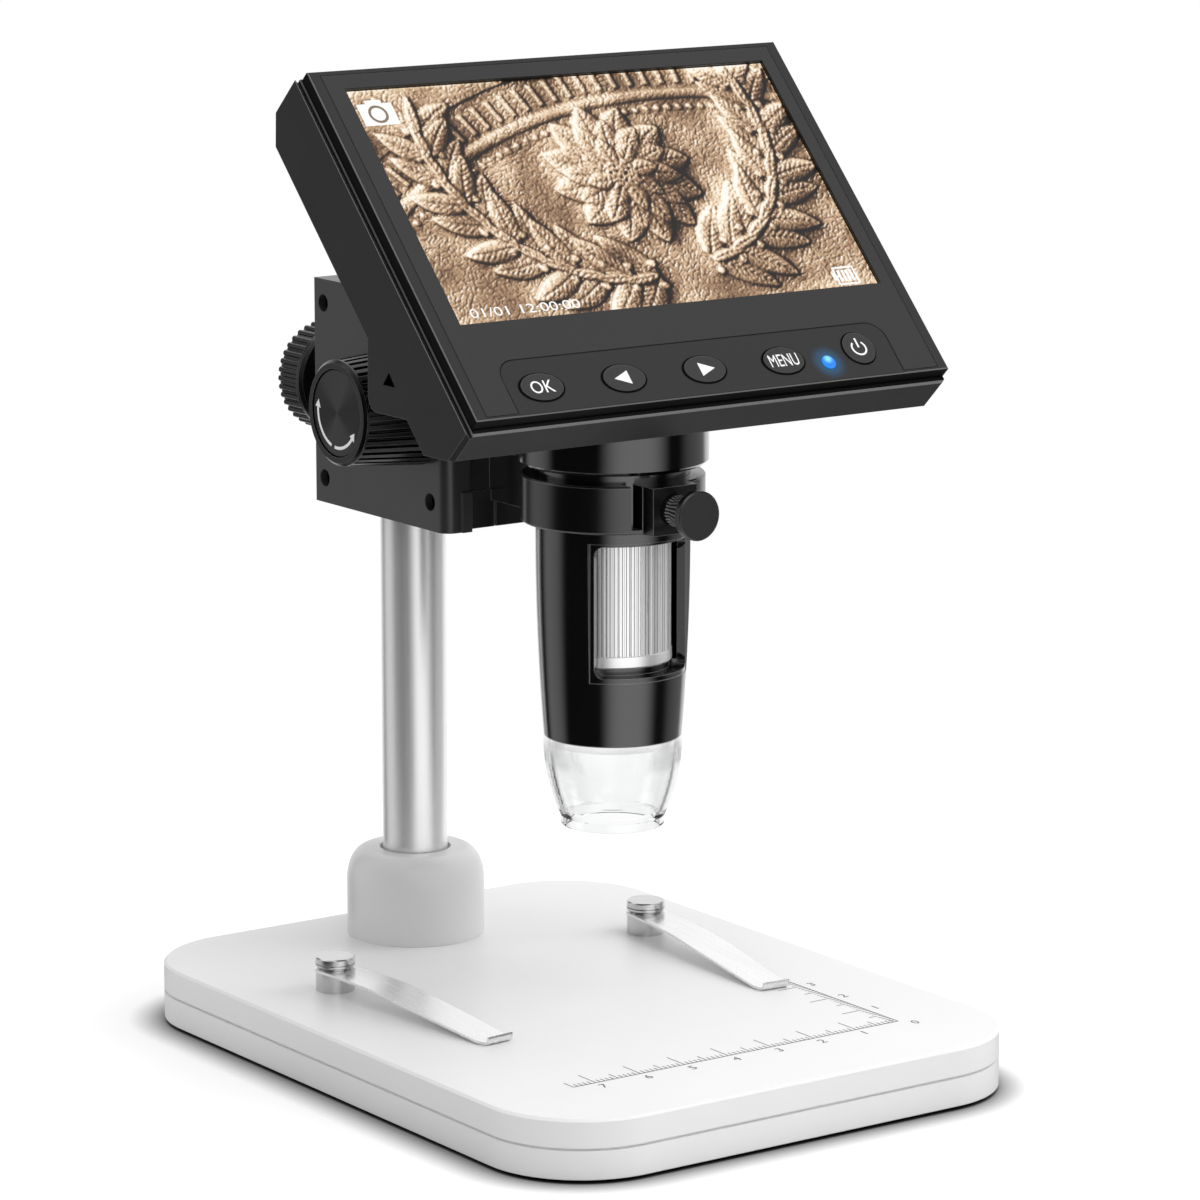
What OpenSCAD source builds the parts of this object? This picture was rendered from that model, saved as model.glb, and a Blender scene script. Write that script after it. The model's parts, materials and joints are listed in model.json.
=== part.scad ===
// LCD digital microscope: a camera barrel under a tilted display, held by a clamp ring on
// a rack-and-pinion focus block that slides on a pole in a flat base.
// Millimetres. +X right, +Y back, +Z up. The origin is the middle of the base, on the table.

/* [Base] */
// Width of the base
base_w = 112; // [90:1:160]
// Depth of the base
base_d = 149; // [130:1:200]
// Height of both base halves together
base_h = 11.2; // [9:0.1:20]
// Radius of the base's corners
base_r = 20; // [10:1:30]
// Wall of the base halves
base_wall = 2.4; // [1.5:0.1:4]
// How far the rubber feet stand out below
foot_h = 0.8; // [0.4:0.1:3]

/* [Pole] */
// Diameter of the pole
pole_d = 13; // [10:0.5:20]
// Pole axis behind the middle of the base
pole_y = 55; // [40:0.5:60]
// Top of the pole above the table
pole_top = 179; // [160:1:260]
// Radius of the collar
collar_r = 13.8; // [10:0.1:20]
// Height of the collar
collar_h = 17.6; // [12:0.1:30]

/* [Focus block] */
// Width of the block
block_w = 31; // [26:0.5:45]
// Height of the block
block_h = 44.6; // [36:0.1:60]
// Underside of the block above the table
block_z = 100.2; // [70:0.1:130]
// Front face of the block
block_y = 20; // [16:0.5:24]
// Depth of the block
block_d = 46.2; // [42:0.1:56]
// Module of the rack and pinion
gear_module = 0.8; // [0.6:0.1:1]
// Teeth on the pinion
pinion_teeth = 14; // [12:1:16]
// Radius of a focus knob at its inner end
knob_r = 11.6; // [9:0.1:16]
// Length of a focus knob
knob_len = 18.3; // [12:0.1:26]
// Ribs round a focus knob
knob_ribs = 38; // [20:1:60]
// Radius of the lock knob
lock_r = 11.3; // [7:0.1:14]

/* [Clamp ring] */
// Outer radius of the clamp ring
ring_r = 17.4; // [16:0.1:24]
// Height of the clamp ring
ring_h = 9; // [7:0.1:14]
// Underside of the clamp ring above the table
ring_z = 106.8; // [80:0.1:130]
// Barrel axis in front of the middle of the base
barrel_off = 13.5; // [8:0.5:20]

/* [Barrel] */
// Radius of the barrel where the ring holds it
barrel_r = 14.5; // [12:0.1:20]
// Underside of the barrel above the table
barrel_z = 65.5; // [55:0.1:85]
// Radius of the focus wheel
wheel_r = 11.2; // [8:0.1:12]
// Ribs round the focus wheel
wheel_ribs = 30; // [16:1:48]
// Length of the clear shroud
shroud_h = 17.4; // [10:0.1:30]

/* [Display] */
// Width of the lit picture
screen_w = 95.04; // [70:0.01:160]
// Height of the lit picture
screen_h = 53.86; // [40:0.01:100]
// Lean of the display back from vertical, degrees
screen_tilt = 43.9; // [20:0.1:60]
// Centre of the lit picture above the table
screen_z = 168.67; // [150:0.01:220]
// Width of the rear housing
case_w = 108; // [90:0.1:180]
// Button pitch
key_pitch = 18; // [14:0.5:24]

/* [Hidden] */
$fn = 96;

// fits
run = 0.06; // running clearance of round fits
slip = 0.1; // clearance of flat slides and of visible joints
snug = 0.02; // clearance of parts that stay put

// base levels
under = foot_h;
seam = foot_h + base_h / 2;
deck = foot_h + base_h;
deck_t = 2.4;
floor_t = 2;
seam_gap = 0.2;
seam_in = 0.3;
foot_r = 7.5;
feet = concat([[0, 0]],
    [for (sx = [-1, 1], sy = [-1, 1]) [sx * (base_w / 2 - 16), sy * (base_d / 2 - 16.5)]]);
base_bolts = [for (sx = [-1, 1], sy = [-1, 1]) [sx * (base_w / 2 - 8), sy * 34]];

// pole and collar
pole_r = pole_d / 2;
pole_seat = deck + 2;
collar_top_r = collar_r - 3.9;
collar_dome = 6.5;
set_z = deck + 8.8;
set_stem_r = 2;

// clips
clip_x = base_w / 2 - 19;
clip_y = 27;
clip_post_r = 3.8;
clip_post_h = 3.8;
clip_t = 0.5;
clip_reach = 48.9;
clip_in = 5.4; // degrees inward at rest

// block, slide and gears
block_top = block_z + block_h;
block_back = block_y + block_d;
knob_y = block_y + 8.7;
knob_z = block_z + 24.2;
lock_z = block_z + 21.4;
lock_boss_r = 7;
lock_boss = 8;
pitch_r = gear_module * pinion_teeth / 2;
tip_r = pitch_r + gear_module;
root_r = pitch_r - 1.25 * gear_module;
rack_y = knob_y - pitch_r;
slide_t = 3.75;
slide_hw = 9.6;
slide_k = 2 / 3.75;
slide_z = block_z + 0.5;
slide_top = slide_z + 40;
step_z = block_z + 7.8;
shaft_r = 2;
screw_spots = [[block_back - 3.2, block_top - 4.8], [block_back - 3.2, block_z + 4.9],
    [block_y + 5.3, block_z + 5.6], [block_y + 5.3, block_top - 4.8]];

// head
axis_y = -barrel_off;
ring_top = ring_z + ring_h;
bore_r = barrel_r + run;
arm_hw = 4.9;
neck_r = 18.1;
neck_z = ring_top + 2;
socket_z = neck_z + 8;
barrel_low = barrel_z + 38.9;
drum_r = 12.1;
shelf_z = barrel_z + 14.55;
wheel_z = shelf_z + 0.05;
wheel_h = 24.8;
window_z = barrel_z + 13.3;
window_h = 25;
window_a = 50;
function barrel_at(z) = barrel_r + 0.1 - 0.00101 * pow(max(0, barrel_low - z), 2);
function shroud_at(h) = 13.25 - 0.0135 * h * h;

// display, in its own frame: u right, v up the slope, n out of the face
screen_y = axis_y - 0.1;
face_n = 0.8;
// parts across the side border keep their share of it when a width changes
border = (case_w - screen_w) / 2;
function edge(d) = screen_w / 2 + d * border / 6.48;
screen_u = 0.5 * border / 6.48;
frame_back = -1.8;
case_back = -16.5;
case_low = -48.6;
case_high = 32.4;
case_wall = 2;
rim = 0.7;
frame_w = 2 * edge(5.78);
frame_low = case_low + 0.9;
frame_high = case_high - 0.9;
panel_w = 2 * edge(3.38);
panel_low = frame_low + 0.65;
panel_high = frame_high - 1.2;
strip_u = [-44, 42.8];
strip_v = -35.7;
strip_r = 3.7;
key_v = -42.1;
key_u = [-36.8, -36.8 + key_pitch, -36.8 + 2 * key_pitch, -36.8 + 3 * key_pitch];
key_a = 4.45;
key_b = 2.9;
power_u = 35.2;
power_v = -41.2;
power_r = 3.45;
light_u = 27;
light_v = -43.5;
light_r = 1.45;
key_top = face_n + 0.25;
wedge_y = axis_y + 0.5;
wedge_z = screen_z - 36.37;
wedge_r = 2.8;
board_n = -8.6;
bracket_n = -4.4;
pillar_u = case_w / 2 - 7.4;
spot_u = case_w / 2 - 17;
pillars = [for (su = [-1, 1], v = [-37, 22]) [su * pillar_u, v]];
board_spots = [for (su = [-1, 1], v = [-13, 19]) [su * spot_u, v]];

function sp(v, n) = [
    screen_y + v * sin(screen_tilt) - n * cos(screen_tilt),
    screen_z + v * cos(screen_tilt) + n * sin(screen_tilt)
];
// height of a display plane n above the point y
function plane_z(y, n) = screen_z + n * sin(screen_tilt)
    + (y - screen_y + n * cos(screen_tilt)) * cos(screen_tilt) / sin(screen_tilt);

// ---------- helpers ----------

module rrect(w, d, r) {
    square([w - 2 * r, d], center = true);
    square([w, d - 2 * r], center = true);
    for (sx = [-1, 1], sy = [-1, 1])
        translate([sx * (w / 2 - r), sy * (d / 2 - r)])
            circle(r);
}

module at_screen() {
    translate([0, screen_y, screen_z])
        rotate([90 - screen_tilt, 0, 0])
            children();
}

// box between corners a and b
module box(a, b) {
    translate(a)
        cube(b - a);
}

// outline in the YZ plane pushed along X
module along_x(x0, x1) {
    translate([x0, 0, 0])
        rotate([90, 0, 90])
            linear_extrude(x1 - x0)
                children();
}

module rod_x(x0, x1, y, z, r) {
    translate([x0, y, z])
        rotate([0, 90, 0])
            cylinder(h = x1 - x0, r = r);
}

module rod_y(y0, y1, x, z, r) {
    translate([x, y0, z])
        rotate([-90, 0, 0])
            cylinder(h = y1 - y0, r = r);
}

module rod_z(z0, z1, x, y, r) {
    translate([x, y, z0])
        cylinder(h = z1 - z0, r = r);
}

module ring_z(z0, z1, r1, r0) {
    translate([0, 0, z0])
        difference() {
            cylinder(h = z1 - z0, r = r1);
            translate([0, 0, -1])
                cylinder(h = z1 - z0 + 2, r = r0);
        }
}

// rounded slab with a chamfered top edge
module slab(w, d, r, t, c) {
    linear_extrude(t - c)
        rrect(w, d, r);
    translate([0, 0, t - c]) {
        along_x(r - w / 2, w / 2 - r)
            polygon([[-d / 2, 0], [d / 2, 0], [d / 2 - c, c], [c - d / 2, c]]);
        for (s = [0, 1])
            mirror([s, 0, 0])
                translate([0, d / 2 - r, 0])
                    rotate([90, 0, 0])
                        linear_extrude(d - 2 * r)
                            polygon([[w / 2 - r, 0], [w / 2, 0], [w / 2 - c, c], [w / 2 - r, c]]);
        for (i = [0 : 3], sx = i == 0 || i == 3 ? 1 : -1, sy = i < 2 ? 1 : -1)
            translate([sx * (w / 2 - r), sy * (d / 2 - r), 0])
                rotate([0, 0, 90 * i])
                    rotate_extrude(angle = 90)
                        polygon([[0, 0], [r, 0], [r - c, c], [0, c]]);
    }
}

module base_outline(inset) {
    rrect(base_w - 2 * inset, base_d - 2 * inset, base_r - inset);
}

// ---------- base ----------

module base_bottom_plate() {
    color("white")
        difference() {
            union() {
                difference() {
                    union() {
                        translate([0, 0, under])
                            linear_extrude(seam - under - seam_gap)
                                base_outline(0);
                        translate([0, 0, seam - seam_gap])
                            linear_extrude(seam_gap)
                                base_outline(seam_in);
                    }
                    translate([0, 0, under + floor_t])
                        linear_extrude(base_h)
                            base_outline(base_wall);
                }
                for (p = base_bolts)
                    rod_z(under + floor_t - 0.5, seam, p[0], p[1], 4.5);
            }
            for (p = base_bolts) {
                rod_z(under - 1, under + 1.8, p[0], p[1], 3.1);
                rod_z(under, seam + 1, p[0], p[1], 1.6);
            }
            for (p = feet)
                rod_z(under - 1, under + 0.8, p[0], p[1], foot_r + snug);
        }
}

module base_top_shell() {
    color("white")
        difference() {
            union() {
                difference() {
                    union() {
                        translate([0, 0, seam])
                            linear_extrude(seam_gap)
                                base_outline(seam_in);
                        translate([0, 0, seam + seam_gap])
                            slab(base_w, base_d, base_r, deck - seam - seam_gap, 0.5);
                    }
                    translate([0, 0, seam - 1])
                        linear_extrude(deck - deck_t - seam + 1)
                            base_outline(base_wall);
                }
                for (p = base_bolts)
                    rod_z(seam, deck - deck_t + 0.5, p[0], p[1], 4.5);
                rod_z(seam, deck - deck_t + 0.5, 0, pole_y, 15);
                for (s = [-1, 1])
                    rod_z(deck - deck_t - 2.4, deck - deck_t + 0.5, s * 25, -20, 4);
            }
            for (p = base_bolts)
                rod_z(seam - 1, deck - 1.4, p[0], p[1], 1.5 + snug);
            for (s = [-1, 1]) {
                rod_z(seam - 1, deck + 1, s * 10.2, pole_y, 1.5 + snug);
                rod_z(seam, deck + 1, s * clip_x, clip_y, 2 + snug);
            }
        }
}

module base_weight() {
    color("dimgray")
        translate([0, -20, under + floor_t])
            linear_extrude(deck - deck_t - 2.4 - under - floor_t)
                rrect(base_w - 28, base_d - 79, 6);
}

module base_feet() {
    color("black")
        for (p = feet)
            rod_z(0, under + 0.8, p[0], p[1], foot_r);
}

module base_screws() {
    color("silver")
        for (p = base_bolts) {
            rod_z(under + 0.3, under + 1.8, p[0], p[1], 2.75);
            rod_z(under + 1.7, deck - 2.2, p[0], p[1], 1.5);
        }
}

module pole_collar() {
    color("white")
        difference() {
            translate([0, pole_y, deck])
                rotate_extrude()
                    polygon(concat(
                        [[0, 0], [collar_r, 0]],
                        [for (a = [0 : 6 : 90])
                            [collar_top_r + (collar_r - collar_top_r) * cos(a),
                                collar_h - collar_dome + collar_dome * sin(a)]],
                        [[0, collar_h]]));
            rod_z(pole_seat, deck + collar_h + 1, 0, pole_y, pole_r + run);
            rod_z(deck + collar_h - 1, deck + collar_h + 1, 0, pole_y, pole_r + 0.6);
            rod_y(pole_y + 4, pole_y + collar_r + 2, 0, set_z, set_stem_r + run);
            for (s = [-1, 1])
                rod_z(deck - 1, deck + 7, s * 10.2, pole_y, 1.5 + snug);
        }
}

module collar_bolts() {
    color("silver")
        for (s = [-1, 1]) {
            rod_z(seam - 1.8, seam, s * 10.2, pole_y, 2.6);
            rod_z(seam - 0.1, deck + 6, s * 10.2, pole_y, 1.5);
        }
}

module collar_set_screw() {
    color("black") {
        rod_y(pole_y + pole_r + 0.03, pole_y + collar_r + 1, 0, set_z, set_stem_r);
        difference() {
            rod_y(pole_y + collar_r + 0.2, pole_y + collar_r + 3.4, 0, set_z, 3.3);
            for (i = [0 : 15])
                translate([0, 0, set_z])
                    rotate([0, 22.5 * i, 0])
                        box([3, pole_y + collar_r, -0.25], [4, pole_y + collar_r + 4, 0.25]);
        }
    }
}

module clip_posts() {
    color("silver")
        for (s = [-1, 1])
            difference() {
                union() {
                    rod_z(deck, deck + clip_post_h, s * clip_x, clip_y, clip_post_r);
                    rod_z(deck - deck_t - 2.6, deck + 0.5, s * clip_x, clip_y, 2);
                }
                rod_z(deck + 0.8, deck + clip_post_h + 1, s * clip_x, clip_y, 1.5 + snug);
            }
}

module clip_nuts() {
    color("silver")
        for (s = [-1, 1])
            difference() {
                translate([s * clip_x, clip_y, deck - deck_t - 2.2])
                    cylinder(h = 2.2, r = 3.8, $fn = 6);
                rod_z(seam, deck, s * clip_x, clip_y, 2 + snug);
            }
}

clip_z = deck + clip_post_h + 0.02;
washer_z = clip_z + clip_t + 0.02;

module clip_screws() {
    color("silver")
        for (s = [-1, 1])
            translate([s * clip_x, clip_y, 0]) {
                rod_z(deck + 1.4, washer_z + 0.1, 0, 0, 1.5);
                translate([0, 0, washer_z])
                    rotate_extrude()
                        polygon([[0, 0], [3.2, 0], [3.2, 0.35], [3.65, 0.35], [3.85, 0.55],
                            [3.85, 0.95], [3.5, 0.95], [3.5, 1.15], [3.85, 1.15],
                            [3.85, 2.1], [3.6, 2.35], [0, 2.35]]);
            }
}

// middle line of the clip's spring: length along it and height
clip_mid = clip_z + clip_t / 2;
clip_low = deck + 0.05 + clip_t / 2;
curl_r = 0.95;
function clip_fall(t) = t < 0.4 ? t * t / 0.8 * 1.25 : 1.25 * (t - 0.2);
clip_line = concat(
    [[-5, clip_mid], [4, clip_mid]],
    [for (t = [0 : 0.05 : 1.001]) [7 + t * (clip_reach - 7), clip_mid - (clip_mid - clip_low) * clip_fall(t)]],
    [for (a = [2 : 9 : 119]) [clip_reach + curl_r * (sin(a) + 0.09), clip_low + curl_r * (1 - cos(a)) + 0.02]]);
clip_n = len(clip_line);
function clip_dir(i) = clip_line[min(i + 1, clip_n - 1)] - clip_line[max(i - 1, 0)];
function clip_side(i, d) = clip_line[i] + d * [-clip_dir(i)[1], clip_dir(i)[0]] / norm(clip_dir(i));

module clip_spring() {
    difference() {
        intersection() {
            rotate([0, 0, -90])
                translate([0, 5, 0])
                    rotate([90, 0, 0])
                        linear_extrude(10)
                            polygon(concat(
                                [for (i = [0 : clip_n - 1]) clip_side(i, clip_t / 2)],
                                [for (i = [clip_n - 1 : -1 : 0]) clip_side(i, -clip_t / 2)]));
            translate([0, 0, deck - 1])
                linear_extrude(10)
                    polygon(concat(
                        [for (a = [0 : 7.5 : 180]) [4 * cos(a), 4 * sin(a)]],
                        [[-4.1, -26], [-3.6, -47.4], [-2.9, -49], [-2.9, -60], [2.9, -60], [2.9, -49],
                            [3.6, -47.4], [4.1, -26]]));
        }
        rod_z(deck, deck + 10, 0, 0, 1.6);
    }
}

module clip_spring_left() {
    color("silver")
        translate([-clip_x, clip_y, 0])
            rotate([0, 0, clip_in])
                clip_spring();
}

module clip_spring_right() {
    color("silver")
        translate([clip_x, clip_y, 0])
            rotate([0, 0, -clip_in])
                clip_spring();
}

// ---------- pole ----------

module pole_tube() {
    color("silver")
        translate([0, pole_y, 0])
            ring_z(pole_seat + 0.05, pole_top, pole_r, pole_r - 1.5);
}

module pole_cap() {
    color("black")
        translate([0, pole_y, pole_top]) {
            rotate_extrude()
                polygon([[0, 0], [pole_r, 0], [pole_r, 1.2], [pole_r - 0.6, 1.8], [0, 1.8]]);
            rod_z(-6, 0.1, 0, 0, pole_r - 1.5 - snug);
        }
}

// ---------- focus block ----------

module slide_outline(gap, top_y) {
    hw0 = slide_hw - (block_y - top_y) * slide_k + gap * sqrt(1 + slide_k * slide_k);
    hw1 = slide_hw + (slide_t + gap) * slide_k + gap * sqrt(1 + slide_k * slide_k);
    y1 = block_y + slide_t + gap;
    polygon([[-hw0, top_y], [hw0, top_y], [hw1, y1], [-hw1, y1]]);
}

module block_body() {
    r = 2.5;
    difference() {
        union() {
            translate([0, 0, block_z])
                linear_extrude(block_h) {
                    translate([-block_w / 2, block_y + r])
                        square([block_w, block_d - r]);
                    translate([r - block_w / 2, block_y])
                        square([block_w - 2 * r, r + 1]);
                    for (s = [-1, 1])
                        translate([s * (block_w / 2 - r), block_y + r])
                            circle(r);
                }
            for (s = [-1, 1])
                box([s * 10.7 - 1.1, block_y - 0.5, block_z], [s * 10.7 + 1.1, block_y + 1, step_z]);
            rod_y(block_back - 1, block_back + lock_boss, 0, lock_z, lock_boss_r);
        }
        translate([0, 0, block_z - 1])
            linear_extrude(block_h + 2)
                slide_outline(slip, block_y - 1);
        rod_z(block_z - 1, block_top + 1, 0, pole_y, pole_r + run);
        rod_x(-3.1, 3.1, knob_y, knob_z, tip_r + 0.3);
        rod_x(-block_w, block_w, knob_y, knob_z, shaft_r + run);
        rod_y(pole_y, block_back + lock_boss + 1, 0, lock_z, 2 + run);
        rod_y(pole_y, block_back - 2, 0, lock_z, 2.6);
        rod_y(block_back + 0.8, block_back + 5.8, 0, lock_z, 4);
    }
}

module block_left() {
    color("dimgray")
        difference() {
            intersection() {
                block_body();
                box([-block_w, 0, block_z - 5], [0, 90, block_top + 5]);
            }
            for (p = screw_spots) {
                rod_x(-block_w, -12.2, p[0], p[1], 1.74);
                rod_x(-13, 1, p[0], p[1], 1.05);
            }
        }
}

module block_right() {
    color("dimgray")
        difference() {
            intersection() {
                block_body();
                box([0, 0, block_z - 5], [block_w, 90, block_top + 5]);
            }
            for (p = screw_spots)
                rod_x(-1, 9.4, p[0], p[1], 1 + snug);
        }
}

module block_screws() {
    color("black")
        for (p = screw_spots) {
            difference() {
                rod_x(-13.9, -12.2, p[0], p[1], 1.65);
                translate([-14.5, p[0], p[1]])
                    rotate([0, 90, 0])
                        cylinder(h = 1.4, r = 0.9, $fn = 6);
            }
            rod_x(-12.3, 9, p[0], p[1], 1);
        }
}

module lock_nut() {
    color("goldenrod")
        difference() {
            rod_y(block_back + 0.9, block_back + 5.7, 0, lock_z, 3.95);
            rod_y(block_back, block_back + 7, 0, lock_z, 2 + run);
        }
}

module lock_pad() {
    color("ivory")
        rod_y(pole_y + pole_r + 0.03, pole_y + pole_r + 1.5, 0, lock_z, 2.5);
}

module lock_screw() {
    color("silver")
        rod_y(pole_y + pole_r + 1.53, block_back + 20, 0, lock_z, 2);
}

lock_hub_y = block_back + lock_boss + 0.2;
lock_y = lock_hub_y + 4.6;

module lock_knob() {
    color("black")
        difference() {
            union() {
                rod_y(lock_hub_y, lock_y + 0.5, 0, lock_z, 5.5);
                translate([0, lock_y, lock_z])
                    rotate([-90, 0, 0])
                        rotate_extrude()
                            polygon([[0, 0], [lock_r - 0.9, 0], [lock_r - 0.2, 0.6], [lock_r - 0.2, 1.6],
                                [lock_r - 0.8, 1.6], [lock_r - 0.8, 8.4], [lock_r - 1.8, 9.2], [0, 9.2]]);
                for (i = [0 : 37])
                    translate([0, lock_y, lock_z])
                        rotate([0, 360 / 38 * i, 0])
                            rod_y(1.4, 8.3, lock_r - 0.85, 0, 0.62);
            }
            rod_y(lock_hub_y - 1, block_back + 20, 0, lock_z, 2 + snug);
        }
}

// ---------- focus knobs ----------

base_circle = pitch_r * cos(20);
half_tooth = 90 / pinion_teeth - 0.075 / pitch_r * 180 / PI;
function inv(a) = tan(a) * 180 / PI - a;
function flank(r) = half_tooth + inv(20) - inv(acos(min(1, base_circle / r)));
flank_r = [for (i = [0 : 5]) base_circle + (tip_r - base_circle) * i / 5];

module pinion_outline() {
    polygon([for (k = [0 : pinion_teeth - 1])
        for (p = concat(
            [[root_r, -flank(base_circle)]],
            [for (r = flank_r) [r, -flank(r)]],
            [for (i = [5 : -1 : 0]) [flank_r[i], flank(flank_r[i])]],
            [[root_r, flank(base_circle)]]))
            p[0] * [cos(p[1] + 360 / pinion_teeth * k), sin(p[1] + 360 / pinion_teeth * k)]]);
}

module focus_pinion() {
    color("goldenrod")
        difference() {
            translate([-2.5, knob_y, knob_z])
                rotate([90, 0, 90])
                    linear_extrude(5)
                        rotate(180)
                            pinion_outline();
            rod_x(-4, 4, knob_y, knob_z, shaft_r);
        }
}

module focus_shaft() {
    color("silver")
        rod_x(-knob_x - knob_bore + slip, knob_x + knob_bore - slip, knob_y, knob_z, shaft_r);
}

knob_x = block_w / 2 + 0.7;
knob_bore = knob_len - 3;
knob_end_r = knob_r - 1.5;

// knob along +X from its inner end
module focus_knob() {
    taper = atan((knob_r - knob_end_r) / knob_len);
    difference() {
        rotate([0, 90, 0])
            rotate_extrude()
                polygon([[0, 0], [knob_r - 0.4, 0], [knob_r, 0.4], [knob_end_r + 0.1, knob_len - 0.6],
                    [knob_end_r - 0.5, knob_len], [8.5, knob_len], [8.5, knob_len - 1.2], [0, knob_len - 1.2]]);
        for (i = [0 : knob_ribs - 1])
            rotate([360 / knob_ribs * i, 0, 0])
                translate([0, 0, knob_r - 0.7])
                    rotate([0, taper, 0])
                        box([-1, -0.42, 0], [knob_len - 1, 0.42, 3]);
        rod_x(-1, knob_bore, 0, 0, shaft_r);
    }
}

module focus_knob_left() {
    color("black")
        translate([-knob_x, knob_y, knob_z])
            mirror([1, 0, 0])
                focus_knob();
}

module focus_knob_right() {
    color("black")
        translate([knob_x, knob_y, knob_z])
            focus_knob();
}

module focus_cap() {
    rotate([0, 90, 0])
        translate([0, 0, knob_len - 1.2])
            rotate_extrude()
                polygon([[0, 0], [8.45, 0], [8.45, 0.7], [8.2, 0.95], [0, 0.95]]);
}

module focus_cap_left() {
    color("black")
        translate([-knob_x, knob_y, knob_z])
            mirror([1, 0, 0])
                focus_cap();
}

module focus_cap_right() {
    color("black")
        translate([knob_x, knob_y, knob_z])
            focus_cap();
}

// ---------- carriage ----------

rack_back = rack_y - 1.25 * gear_module;
rack_front = rack_back - 1;
rack_tip = block_y + slide_t - 0.05;
rack_pitch = PI * gear_module;
rack_half = 6.15 * rack_pitch;

module carriage() {
    color("black")
        difference() {
            union() {
                difference() {
                    translate([0, 0, slide_z])
                        linear_extrude(slide_top - slide_z)
                            slide_outline(0, block_y);
                    box([-12, block_y - 1, step_z], [12, block_y + 0.5, slide_top + 1]);
                }
                box([-arm_hw, axis_y + ring_r - 2, ring_z - 0.9], [arm_hw, block_y + 1, ring_top]);
                box([-5, axis_y - 19.9, ring_z], [5, axis_y - 12, ring_top]);
                translate([0, axis_y, ring_z])
                    rotate_extrude()
                        polygon([[0, 0], [ring_r - 0.3, 0], [ring_r, 0.3], [ring_r, ring_h - 0.3],
                            [ring_r - 0.3, ring_h], [0, ring_h]]);
            }
            rod_z(ring_z - 2, ring_top + 1, 0, axis_y, bore_r);
            box([-7.1, axis_y - 20, ring_z + 0.8], [-5.1, axis_y - 10, ring_top + 1]);
            rod_y(axis_y - 25, axis_y - 10, 0, ring_z + 4.5, 2 + run);
            box([-3.02, rack_front, slide_z + 0.6], [3.02, block_y + slide_t + 1, slide_top - 0.6]);
            for (s = [-1, 1])
                box([s * 4 - 0.2, block_y - 1, slide_z - 1], [s * 4 + 0.2, block_y + 0.4, ring_z - 0.9]);
        }
}

module focus_rack() {
    slope = tan(20);
    half_gap = rack_pitch / 4 + 0.075;
    color("goldenrod")
        along_x(-3, 3)
            difference() {
                translate([rack_front, knob_z - rack_half])
                    square([rack_tip - rack_front, 2 * rack_half]);
                for (k = [-6 : 6])
                    translate([0, knob_z + k * rack_pitch])
                        polygon([
                            [rack_back, -half_gap + (rack_y - rack_back) * slope],
                            [rack_tip + 1, -half_gap - (rack_tip + 1 - rack_y) * slope],
                            [rack_tip + 1, half_gap + (rack_tip + 1 - rack_y) * slope],
                            [rack_back, half_gap - (rack_y - rack_back) * slope]]);
            }
}

module thumb_screw() {
    y1 = axis_y - 19.9;
    z = ring_z + 4.5;
    color("black") {
        rod_y(y1 - 5, axis_y - barrel_r - 0.05, 0, z, 2);
        translate([0, y1 - 0.2, z])
            rotate([90, 0, 0])
                rotate_extrude()
                    polygon([[0, 0], [2.5, 0], [2.6, 1], [4.1, 6], [0, 6]]);
        for (i = [0 : 27])
            translate([0, y1 - 0.6, z])
                rotate([0, 360 / 28 * i, 0])
                    translate([2.6, 0, 0])
                        rotate([0, 0, -16.7])
                            box([-0.7, -5.6, -0.15], [0.4, 0, 0.15]);
        translate([0, y1 - 5.9, z])
            rotate([90, 0, 0])
                rotate_extrude()
                    polygon([[0, 0], [4.4, 0], [4.65, 0.25], [4.65, 1.45], [4.4, 1.7], [0, 1.7]]);
    }
}

// ---------- barrel ----------

// wedge of a turned shape about -Y, half angle a
module sector(a) {
    rotate([0, 0, -90 - a])
        rotate_extrude(angle = 2 * a)
            children();
}

module window_cut() {
    r = 1.8;
    da = r / 13.3 * 180 / PI;
    translate([0, 0, window_z]) {
        sector(window_a - da)
            translate([wheel_r - 0.6, 0])
                square([10, window_h]);
        sector(window_a)
            translate([wheel_r - 0.6, r])
                square([10, window_h - 2 * r]);
        for (s = [-1, 1], z = [r, window_h - r])
            rotate([0, 0, s * (window_a - da)])
                translate([0, -wheel_r + 0.6, z])
                    rotate([90, 0, 0])
                        cylinder(h = 10, r = r);
    }
}

module barrel_shell() {
    zs = [for (i = [0 : 12]) barrel_z + (barrel_low - barrel_z) * i / 12];
    color("black")
        translate([0, axis_y, 0])
            difference() {
                rotate_extrude()
                    polygon(concat(
                        [[0, barrel_z], [barrel_at(barrel_z) - 0.15, barrel_z]],
                        [for (z = zs) [barrel_at(z), z + (z == barrel_z ? 0.15 : 0)]],
                        [[barrel_r + 0.1, ring_z - 0.5], [barrel_r, ring_z - 0.4],
                            [barrel_r, socket_z], [0, socket_z]]));
                rod_z(barrel_z - 1, shelf_z - 2.2, 0, 0, 11.4);
                rod_z(barrel_z, socket_z + 1, 0, 0, 9.9);
                rod_z(shelf_z, socket_z + 1, 0, 0, drum_r);
                window_cut();
                translate([0, 0, window_z - 0.9])
                    sector(window_a + 3.6)
                        translate([13.75, 0])
                            square([3, window_h + 1.5]);
            }
}

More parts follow.
